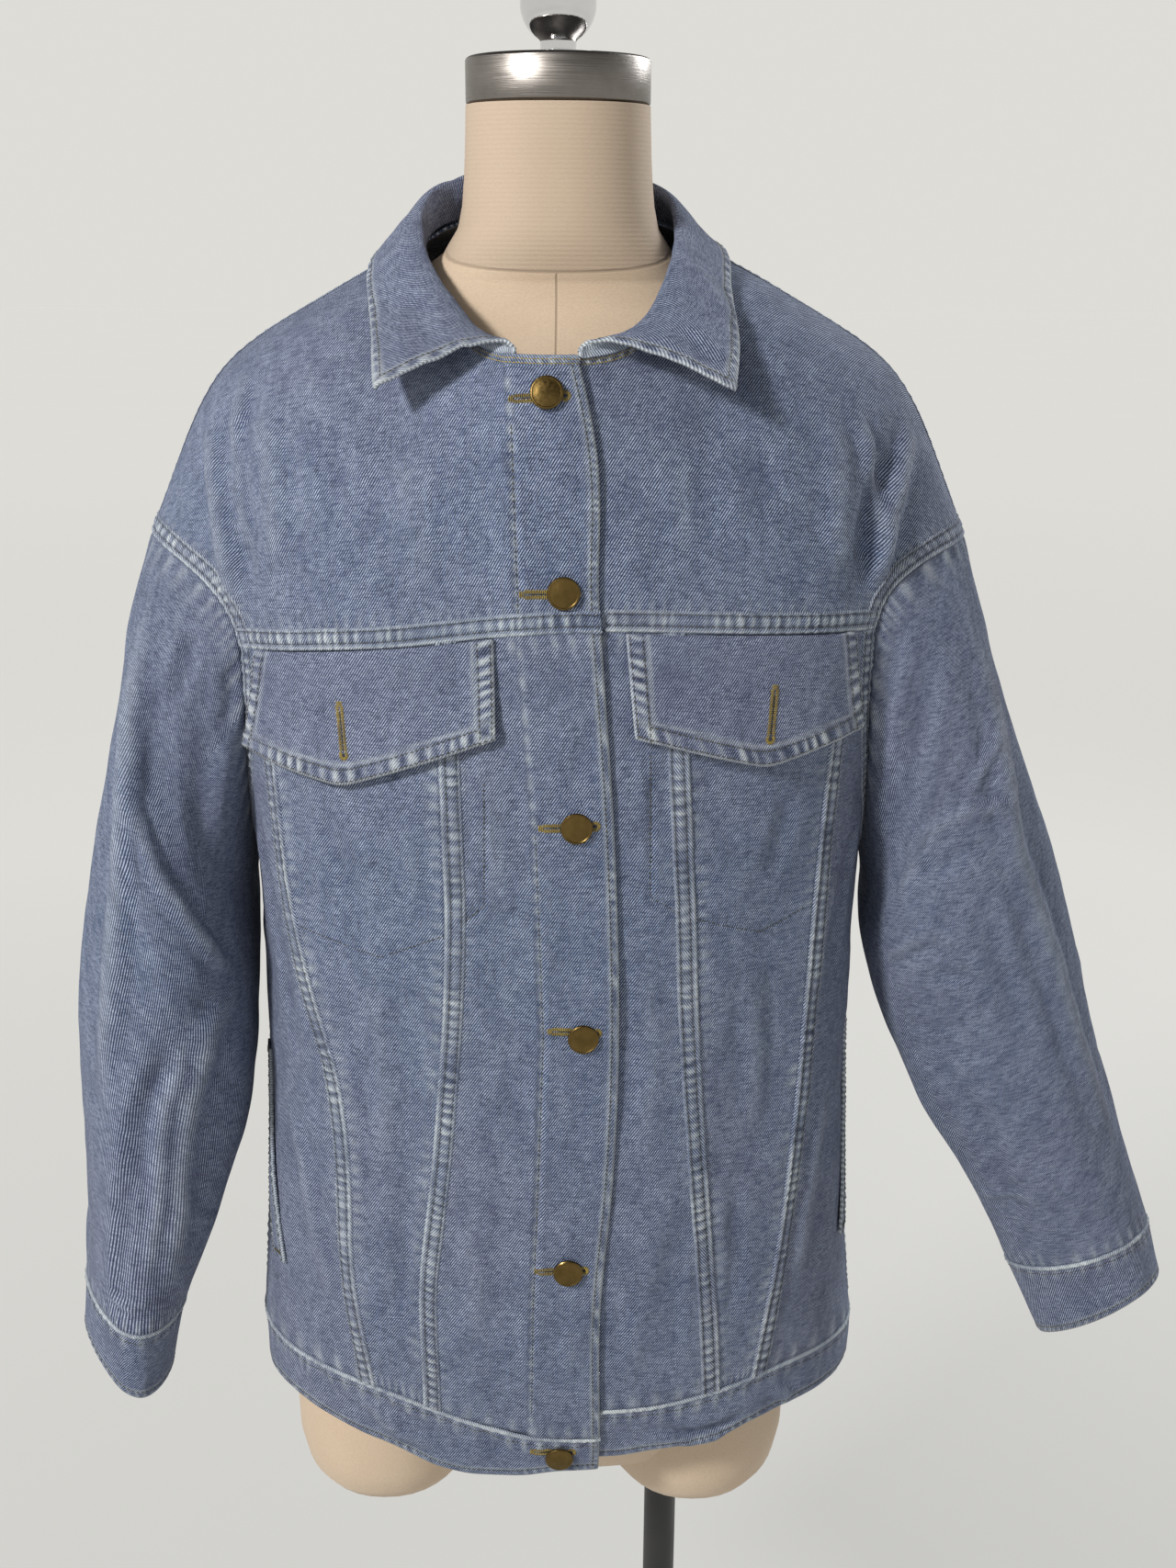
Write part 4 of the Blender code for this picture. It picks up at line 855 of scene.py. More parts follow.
def threadCurve(name, radius):
    curve = bpy.data.curves.new(name, "CURVE")
    curve.dimensions = "3D"
    curve.bevel_depth = radius
    curve.bevel_resolution = 0
    curve.use_fill_caps = True
    return curve


def layStitch(curve, places, thin):
    spline = curve.splines.new("POLY")
    spline.points.add(2)
    for point, place, thick in zip(spline.points, places, (thin, 1.0, thin)):
        point.co = (*place, 1.0)
        point.radius = thick


def makeStitches(name, thread, material, seed):
    # every row of one thread as short tapered stitches, in one mesh
    cut = stitchSettings
    curve = threadCurve(name, cut["radius"])
    for row, (points, normals, colour, pitch) in enumerate(stitchLines):
        length = lengthsAlong(points)
        for index in range(int(length[-1] / pitch) if colour == thread else 0):
            uneven = cut["uneven"] * noise.noise(Vector((index * 0.71, row * 1.37, seed)))
            at = [(index + share + uneven) * pitch for share in cut["shares"]]
            place, facing = (placesAt(at, length, values) for values in (points, normals))
            layStitch(curve, place + facing * np.array(cut["heights"])[:, None], cut["thin"])
    curveToPiece(curve, name, material)


def makeLooseStitches(name, thread, material, radius, lift):
    # single stitches of one thread in one mesh
    curve = threadCurve(name, radius)
    for start, end, normal, colour in looseStitches:
        if colour == thread:
            layStitch(curve, (start, (start + end) / 2 + normal * lift, end), 0.7)
    curveToPiece(curve, name, material)


def curveToPiece(curve, name, material):
    holder = addObject(name + "Curve", curve)
    mesh = applied(holder)
    count = len(curve.splines)
    bpy.data.objects.remove(holder)
    bpy.data.curves.remove(curve)
    mesh.materials.clear()
    mesh.materials.append(material)
    mesh.shade_smooth()
    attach(addObject(name, mesh), "root")
    print(f"{name}: {count} stitches, {sum(len(face.vertices) - 2 for face in mesh.polygons)} triangles")


clothTrees = {}


def clothTree(node):
    # the outer side of a finished piece, to lay stitches on
    if node not in clothTrees:
        points = sheets[node]["points"]
        order = np.arange(points.shape[0] * points.shape[1]).reshape(points.shape[:2])
        if sheets[node]["ring"]:
            order = closeRing(order)
        quads = np.stack((order[:-1, :-1], order[:-1, 1:], order[1:, 1:], order[1:, :-1]), axis=-1)
        places = [Vector(place) for place in points.reshape(-1, 3)]
        clothTrees[node] = BVHTree.FromPolygons(places, quads.reshape(-1, 4).tolist())
    return clothTrees[node]


def touchCloth(nodes, view, flat):
    # where a line of sight meets the outermost of some pieces
    side = -1.0 if sheets[nodes[0]]["points"][..., 0].mean() < 0 else 1.0
    start, way = {
        "front": ((flat[0], -1.0, flat[1]), (0, 1, 0)),
        "outside": ((side, flat[0], flat[1]), (-side, 0, 0)),
    }[view]
    best = None
    for node in nodes:
        place, normal, _, distance = clothTree(node).ray_cast(Vector(start), Vector(way))
        if place is not None and (best is None or distance < best[2]):
            best = (np.array(place), np.array(normal if normal.dot(Vector(way)) < 0 else -normal), distance)
    return best and best[:2]


def shareAt(sheet, edge, axis, value):
    # how far along an edge it reaches a coordinate
    points = rail(sheet, edge)[0][:, 0]
    length = lengthsAlong(points)
    return float(length[np.argmin(np.abs(points[:, axis] - value))] / length[-1])


def stitchOnCloth(nodes, line):
    # one row of stitches along a line drawn flat on the front
    line = np.asarray(line, float)
    found = []
    for start, end in zip(line, line[1:]):
        count = max(int(np.linalg.norm(end - start) / stitchSettings["drawnSpacing"]), 1)
        found += [touchCloth(nodes, "front", start + (end - start) * step / count) for step in range(count)]
    places, normals = zip(*(touched for touched in found if touched))
    stitchLines.append((np.array(places), unitRows(np.array(normals)), "olive", stitchSettings["pitch"]))


def sewAcross(place, normal, way, near, far, thread):
    # one stitch that lies across a line
    side = np.cross(normal, way)
    looseStitches.append((place + side * near, place + side * far, normal, thread))


def sewBar(nodes, start, end):
    # a dense bar of stitches from one place to another on the outside
    half, pitch = barSettings["width"] / 2, barSettings["pitch"]
    ends = [touchCloth(nodes, "outside", flat) for flat in (start, end)]
    reach, bend = ends[1][0] - ends[0][0], ends[1][1] - ends[0][1]
    count = int(np.linalg.norm(reach) / pitch)
    for step in range(count):
        place, normal = ends[0][0] + reach * step / count, unitRows(ends[0][1] + bend * step / count)
        slip = barSettings["uneven"] * noise.noise(Vector((step * 0.9, start[0] * 90, start[1] * 90)))
        sewAcross(place, normal, unitRows(reach), slip - half, slip + half, "olive")


def sewButtonhole(nodes, start, end):
    # two dense sides, a bar at the start and an eyelet at the end, with painted shade in the slit and the
    # hole
    cut, pitch = buttonholeSettings, buttonholeSettings["pitch"]
    start, end = np.array(start), np.array(end)
    length = float(np.linalg.norm(end - start))
    for step in range(-2, int((length - 1.6 * cut["eyelet"]) / pitch)):
        place, normal = touchCloth(nodes, "front", start + (end - start) * step * pitch / length)
        onward = touchCloth(nodes, "front", start + (end - start) * (step + 1) * pitch / length)[0]
        way = unitRows(onward - place)
        uneven = cut["uneven"] * noise.noise(Vector((step * 0.8, start[0] * 50, start[1] * 50)))
        if step < 1:
            half = cut["width"] * cut["bar"]
            sewAcross(place, normal, way, -half, half, "ochre")
            continue
        for sign in (-1, 1):
            sewAcross(place, normal, way, sign * cut["slit"], sign * (cut["width"] + uneven), "ochre")
        if step % 4 == 0:
            # a dark line along the slit: painted shade in the cut
            looseStitches.append((place, place + way * pitch * 4.2, normal, "dark"))
    middle, normal = touchCloth(nodes, "front", end + (start - end) * cut["eyelet"] / length)
    side = np.cross(normal, way)
    for step in range(cut["round"]):
        turn = math.tau * (step + 0.5) / cut["round"]
        spoke = way * math.cos(turn) + side * math.sin(turn)
        if math.cos(turn) > -0.85:  # open towards the slit
            ends = (middle + spoke * cut[word] for word in ("hole", "eyelet"))
            looseStitches.append((*ends, normal, "ochre"))
    # a dark dot in the eyelet: painted shade in its hole
    hole = way * cut["hole"] * 0.7
    looseStitches.append((middle - hole, middle + hole, normal, "hole"))


def newMaterial(name):
    material = bpy.data.materials.new(name)
    material.use_nodes = True
    tree = material.node_tree
    return material, tree, tree.nodes["Principled BSDF"]


def feed(tree, node, values):
    # a number or a colour is set on the socket itself, and anything else is linked to it
    for word, value in values.items():
        socket = node.inputs[word]
        if isinstance(value, tuple) and socket.type == "RGBA":
            value = (*value, 1.0)
        if isinstance(value, (int, float, tuple)):
            socket.default_value = value
        elif value is not None:
            tree.links.new(value, socket)


def addNode(tree, kind, values=(), **settings):
    node = tree.nodes.new("ShaderNode" + kind)
    for word, value in settings.items():
        setattr(node, word, value)
    feed(tree, node, dict(values))
    return node


def mathNode(tree, operation, *values):
    return addNode(tree, "Math", enumerate(values), operation=operation).outputs[0]


def product(tree, first, *values):
    for value in values:
        first = mathNode(tree, "MULTIPLY", first, value)
    return first


def noiseNode(tree, vector, scale, detail=2.0, stretch=(1.0, 1.0, 1.0), shift=0.0, roughness=0.5):
    place = {"Vector": vector, "Scale": stretch, "Location": (shift, shift * 0.7, shift * 0.3)}
    mapping = addNode(tree, "Mapping", place).outputs["Vector"]
    values = {"Vector": mapping, "Scale": scale, "Detail": detail, "Roughness": roughness}
    return addNode(tree, "TexNoise", values).outputs["Fac"]


def rangeNode(tree, value, low, high, newLow=0.0, newHigh=1.0):
    values = {"Value": value, "From Min": low, "From Max": high, "To Min": newLow, "To Max": newHigh}
    return addNode(tree, "MapRange", values, clamp=True).outputs["Result"]


def mixColour(tree, factor, first, second):
    return addNode(tree, "Mix", {0: factor, 6: first, 7: second}, data_type="RGBA").outputs[2]


def bumpNode(tree, height, distance, strength=1.0, normal=None):
    values = {"Strength": strength, "Distance": distance, "Height": height, "Normal": normal}
    return addNode(tree, "Bump", values).outputs["Normal"]


def objectPlace(tree):
    return addNode(tree, "TexCoord").outputs["Object"]


denimSettings = {
    "indigo": (0.011, 0.020, 0.052),  # warp yarns where the wash left them
    "washed": (0.032, 0.058, 0.134),
    "lavender": (0.056, 0.064, 0.132),
    "weft": (0.480, 0.545, 0.690),
    "worn": (0.720, 0.780, 0.790),
    "twillPitch": 0.00148,
    "twillSlope": 0.66,
    "wander": 1.7,
    "bump": 0.00055,
    "noises": {
        # scale, detail, stretch, shift, roughness
        "wander": (160.0, 2.0, (1.0, 1.0, 1.0), 0.0, 0.5),
        "warp": (1.0, 2.0, (1100.0, 120.0, 1.0), 0.0, 0.6),
        "weft": (1.0, 2.0, (150.0, 1200.0, 1.0), 3.0, 0.6),
        "grain": (800.0, 2.0, (1.0, 1.0, 1.0), 5.0, 0.7),
        "speckle": (300.0, 3.0, (1.0, 0.8, 1.0), 6.0, 0.65),
        "mottle": (75.0, 4.0, (1.0, 0.55, 1.0), 7.0, 0.62),
        "clouds": (9.0, 3.0, (1.0, 0.6, 1.0), 11.0, 0.55),
        "hue": (5.0, 2.0, (1.0, 1.0, 1.0), 17.0, 0.5),
    },
    # a pattern, and what of it counts as none and as all
    "hue": (("hue", 0.35, 0.65),),
    "dark": (("warp", 0.40, 0.64), ("clouds", 0.30, 0.70, 1.0, 0.55), ("speckle", 0.36, 0.64, 1.10, 0.60)),
    "threads": (
        ("rib", 0.42, 0.80),
        ("weft", 0.36, 0.56, 0.40, 1.0),
        ("speckle", 0.34, 0.66, 0.75, 1.15),
        ("mottle", 0.30, 0.70, 0.60, 1.10),
    ),
    "gaps": (("grain", 0.50, 0.72, 0.0, 0.45),),
    "rubbed": (("mottle", 0.30, 0.60, 0.60, 1.0), ("rib", 0.20, 0.80, 0.60, 1.0)),
    "roughness": (("grain", 0.3, 0.7, 0.82, 0.97),),
    # how strongly the painted shade darkens the cloth and dims its weft
    "shadeDark": 0.95,
    "shadeThreads": 0.6,
    "relief": (0.55, 0.35, 0.40),  # of the ribs, the warp and the grain
    "mottleBump": (0.0012, 0.55),
}


def denimMaterial(name, seed, weftShare=0.50, paler=0.0):
    # stone-washed twill: diagonal ribs, uneven yarns, clouds of wash, pale worn edges, and painted shade
    # from the shade attribute
    cut = denimSettings
    material, tree, shader = newMaterial(name)
    uv = addNode(tree, "UVMap", uv_map="cloth").outputs["UV"]
    wear = addNode(tree, "Attribute", attribute_name="wear").outputs["Fac"]
    shade = addNode(tree, "Attribute", attribute_name="shade").outputs["Fac"]
    split = addNode(tree, "SeparateXYZ", {0: uv})
    spots = {}
    for word, (scale, detail, stretch, shift, roughness) in cut["noises"].items():
        spots[word] = noiseNode(tree, uv, scale, detail, stretch, seed + shift, roughness)

    def ranged(word, *values):
        return product(tree, *values, *(rangeNode(tree, spots[spot], *ends) for spot, *ends in cut[word]))

    climb = product(tree, split.outputs["Y"], cut["twillSlope"])
    diagonal = mathNode(tree, "SUBTRACT", split.outputs["X"], climb)
    wander = product(tree, spots["wander"], cut["wander"])
    phase = mathNode(tree, "MULTIPLY_ADD", diagonal, math.tau / cut["twillPitch"], wander)
    rib = spots["rib"] = mathNode(tree, "MULTIPLY_ADD", mathNode(tree, "SINE", phase), 0.5, 0.5)
    base = mixColour(tree, ranged("hue"), cut["washed"], cut["lavender"])
    # the shade attribute is painted shade: it pulls the cloth towards indigo and dims the weft
    dark = mathNode(tree, "MAXIMUM", ranged("dark"), product(tree, shade, cut["shadeDark"]))
    colour = mixColour(tree, dark, base, cut["indigo"])
    lit = mathNode(tree, "SUBTRACT", 1.0, product(tree, shade, cut["shadeThreads"]))
    threads = product(tree, ranged("threads"), weftShare * 2.0, lit)
    colour = mixColour(tree, mathNode(tree, "MINIMUM", threads, 1.0), colour, cut["weft"])
    colour = mixColour(tree, ranged("gaps"), colour, cut["indigo"])
    rubbed = ranged("rubbed", wear)
    colour = mixColour(tree, mathNode(tree, "MINIMUM", rubbed, 1.0), colour, cut["worn"])
    if paler:
        colour = mixColour(tree, paler, colour, cut["worn"])
    ribs, yarns, grains = cut["relief"]
    height = mathNode(tree, "MULTIPLY_ADD", rib, ribs, product(tree, spots["warp"], yarns))
    height = mathNode(tree, "ADD", height, product(tree, spots["grain"], grains))
    feed(tree, shader, {
        "Base Color": colour,
        "Roughness": ranged("roughness"),
        "Specular IOR Level": 0.22,
        "Sheen Weight": 0.04,
        "Sheen Roughness": 0.55,
        "Normal": bumpNode(tree, spots["mottle"], *cut["mottleBump"], bumpNode(tree, height, cut["bump"])),
    })
    return material


def threadMaterial(name, colour, darker):
    material, tree, shader = newMaterial(name)
    place = objectPlace(tree)
    fuzz, along = (noiseNode(tree, place, scale) for scale in (900.0, 60.0))
    tone = mixColour(tree, rangeNode(tree, along, 0.35, 0.65), colour, darker)
    tone = mixColour(tree, rangeNode(tree, fuzz, 0.45, 0.75, 0.0, 0.5), tone, darker)
    normal = bumpNode(tree, fuzz, 0.0002)
    feed(tree, shader, {"Base Color": tone, "Roughness": 0.75, "Sheen Weight": 0.2, "Normal": normal})
    return material


formClothSettings = {
    "cream": ((0.560, 0.435, 0.315), (0.610, 0.485, 0.360)),
    "yarn": (0.440, 0.330, 0.235),
    "seam": (0.260, 0.185, 0.130),
    "neck": (0.390, 0.305, 0.235),
    "neckSeam": (0.27, 1.389),  # its slope back and its height
    "ribPitch": 0.0024,
}


def formClothMaterial(name):
    # cream cover: a seam round the neck, finely ribbed over it, and one up the middle below it
    cut = formClothSettings
    material, tree, shader = newMaterial(name)
    place = objectPlace(tree)
    cloud = noiseNode(tree, place, 14.0, 3.0)
    weave = noiseNode(tree, place, 700.0, 2.0, (1.0, 1.0, 2.2))
    tone = mixColour(tree, rangeNode(tree, cloud, 0.3, 0.7), *cut["cream"])
    tone = mixColour(tree, rangeNode(tree, weave, 0.35, 0.7, 0.0, 0.35), tone, cut["yarn"])
    x, y, z = addNode(tree, "SeparateXYZ", {0: place}).outputs
    over = mathNode(tree, "SUBTRACT", z, mathNode(tree, "MULTIPLY_ADD", y, *cut["neckSeam"]))
    onNeck = rangeNode(tree, over, -0.0003, 0.0003)
    neckSeam = rangeNode(tree, mathNode(tree, "ABSOLUTE", over), 0.0003, 0.0012, 1.0, 0.0)
    middle = rangeNode(tree, mathNode(tree, "ABSOLUTE", x), 0.0002, 0.0009, 1.0, 0.0)
    middle = product(tree, middle, mathNode(tree, "SUBTRACT", 1.0, onNeck))
    seam = mathNode(tree, "MAXIMUM", neckSeam, middle)
    tone = mixColour(tree, product(tree, seam, 0.60), tone, cut["seam"])
    tone = mixColour(tree, product(tree, onNeck, 0.55), tone, cut["neck"])
    ribs = mathNode(tree, "SINE", product(tree, z, math.tau / cut["ribPitch"]))
    ribs = product(tree, ribs, mathNode(tree, "MULTIPLY_ADD", onNeck, 0.22, 0.04))
    height = mathNode(tree, "SUBTRACT", mathNode(tree, "ADD", ribs, weave), product(tree, seam, 2.0))
    feed(tree, shader, {
        "Base Color": tone,
        "Roughness": 0.82,
        "Specular IOR Level": 0.3,
        "Sheen Weight": 0.12,
        "Normal": bumpNode(tree, height, 0.00016),
    })
    return material


def metalMaterial(name, light, dark, roughness, brushed=0.0, spots=0.5):
    material, tree, shader = newMaterial(name)
    place = objectPlace(tree)
    grain = noiseNode(tree, place, 1.0, 3.0, (30.0, 30.0, 2600.0) if brushed else (700.0, 700.0, 700.0))
    cloud = noiseNode(tree, place, 160.0, 4.0)
    feed(tree, shader, {
        "Base Color": mixColour(tree, rangeNode(tree, cloud, 0.35, 0.70, 0.0, spots), light, dark),
        "Metallic": 1.0,
        "Roughness": rangeNode(tree, grain, 0.3, 0.7, roughness * 0.75, roughness * 1.3),
        "Anisotropic": brushed,
        "Normal": bumpNode(tree, grain, 0.00008 if brushed else 0.00005, 0.6),
    })
    return material


def paintMaterial(name, colour, dusty):
    material, tree, shader = newMaterial(name)
    place = objectPlace(tree)
    dust = noiseNode(tree, place, 25.0, 4.0)
    feed(tree, shader, {
        "Base Color": mixColour(tree, rangeNode(tree, dust, 0.45, 0.75, 0.0, 0.35), colour, dusty),
        "Roughness": rangeNode(tree, dust, 0.3, 0.7, 0.38, 0.55),
        "Normal": bumpNode(tree, noiseNode(tree, place, 1500.0), 0.00012),
    })
    return material


print("materials")
denimInside = denimMaterial("denimInside", 12.0, 0.70, 0.22)
denimSeam = denimMaterial("denimSeam", 8.0)
# denimTrim's weft share of 0.48 makes it a little darker than denimMain: painted shade that tones down the
# top light on the collar, and it falls on every trim piece
finishes = {"denim": denimMaterial("denimMain", 1.0), "denim_trim": denimMaterial("denimTrim", 4.0, 0.48)}
oliveThread = threadMaterial("oliveThread", (0.062, 0.058, 0.030), (0.026, 0.027, 0.018))
ochreThread = threadMaterial("ochreThread", (0.370, 0.270, 0.045), (0.170, 0.120, 0.022))
# near-black thread for the slits and eyelet holes: painted shade
paintedGapShade = threadMaterial("paintedGapShade", (0.020, 0.018, 0.014), (0.010, 0.010, 0.010))
formCloth = formClothMaterial("formCloth")
brass = metalMaterial("antiqueBrass", (0.150, 0.100, 0.034), (0.055, 0.037, 0.013), 0.33)
steel = metalMaterial("brushedSteel", (0.210, 0.193, 0.178), (0.140, 0.128, 0.118), 0.30, 0.7, 0.3)
chrome = metalMaterial("chrome", (0.720, 0.720, 0.730), (0.600, 0.600, 0.610), 0.06, 0.0, 0.2)
blackPaint = paintMaterial("blackPaint", (0.014, 0.014, 0.015), (0.040, 0.039, 0.038))

panel = {
    "slot": "denim",
    "wall": 0.0015,
    "rim": (0.0, 0.0026),  # lengths of the edges across a wall, which tell its rim from its sides
    "uneven": (0.0009, 0.045, 0.016),  # depth, broad and fine size
    "held": ("lowX", "highX", "foot", "top"),  # edges that creases fade towards
    "hold": 0.008,
    "ring": False,
}
band = {
    **panel,
    "slot": "denim_trim",
    "wall": 0.0022,
    "rim": (0.0, 0.0028),
    "held": ("foot", "top"),
    "hold": 0.004,
}
clothKinds = {
    "panel": panel,
    "side": {**panel, "slot": "denim_trim"},
    "sleeve": {**panel, "held": ("foot", "top"), "ring": True},
    "cuff": {**band, "uneven": (0.0005, 0.045, 0.016), "ring": True},
    "hem": {**band, "uneven": (0.0010, 0.035, 0.016), "held": ("top",)},
    "collar": {**band, "uneven": (0.0010, 0.030, 0.012), "rim": (0.00215, 0.00225)},
    "flap": {**band, "uneven": (0.0006, 0.030, 0.012)},
    "welt": {**band, "uneven": (0.0, 0.030, 0.012), "slot": "denim"},
}
clothPieces = {
    # kind, rows and columns of the solid's points
    "front_centre_right": ("panel", 15, 9),
    "front_centre_left": ("panel", 15, 8),
    "front_mid_right": ("panel", 15, 5),
    "front_mid_left": ("panel", 15, 5),
    "front_side_right": ("side", 15, 6),
    "front_side_left": ("side", 15, 6),
    "back_side_right": ("side", 15, 8),
    "back_side_left": ("side", 15, 8),
    "back_centre": ("panel", 15, 8),
    "front_yoke_right": ("panel", 9, 17),
    "front_yoke_left": ("panel", 9, 16),
    "back_yoke": ("panel", 9, 25),
    "sleeve_right": ("sleeve", 18, 26),
    "sleeve_left": ("sleeve", 18, 26),
    "cuff_right": ("cuff", 4, 26),
    "cuff_left": ("cuff", 4, 26),
    "hem_band": ("hem", 4, 55),
    "collar": ("collar", 8, 45),
    "flap_right": ("flap", 5, 13),
    "welt_right": ("welt", 12, 4),
    "flap_left": ("flap", 5, 13),
    "welt_left": ("welt", 12, 4),
}
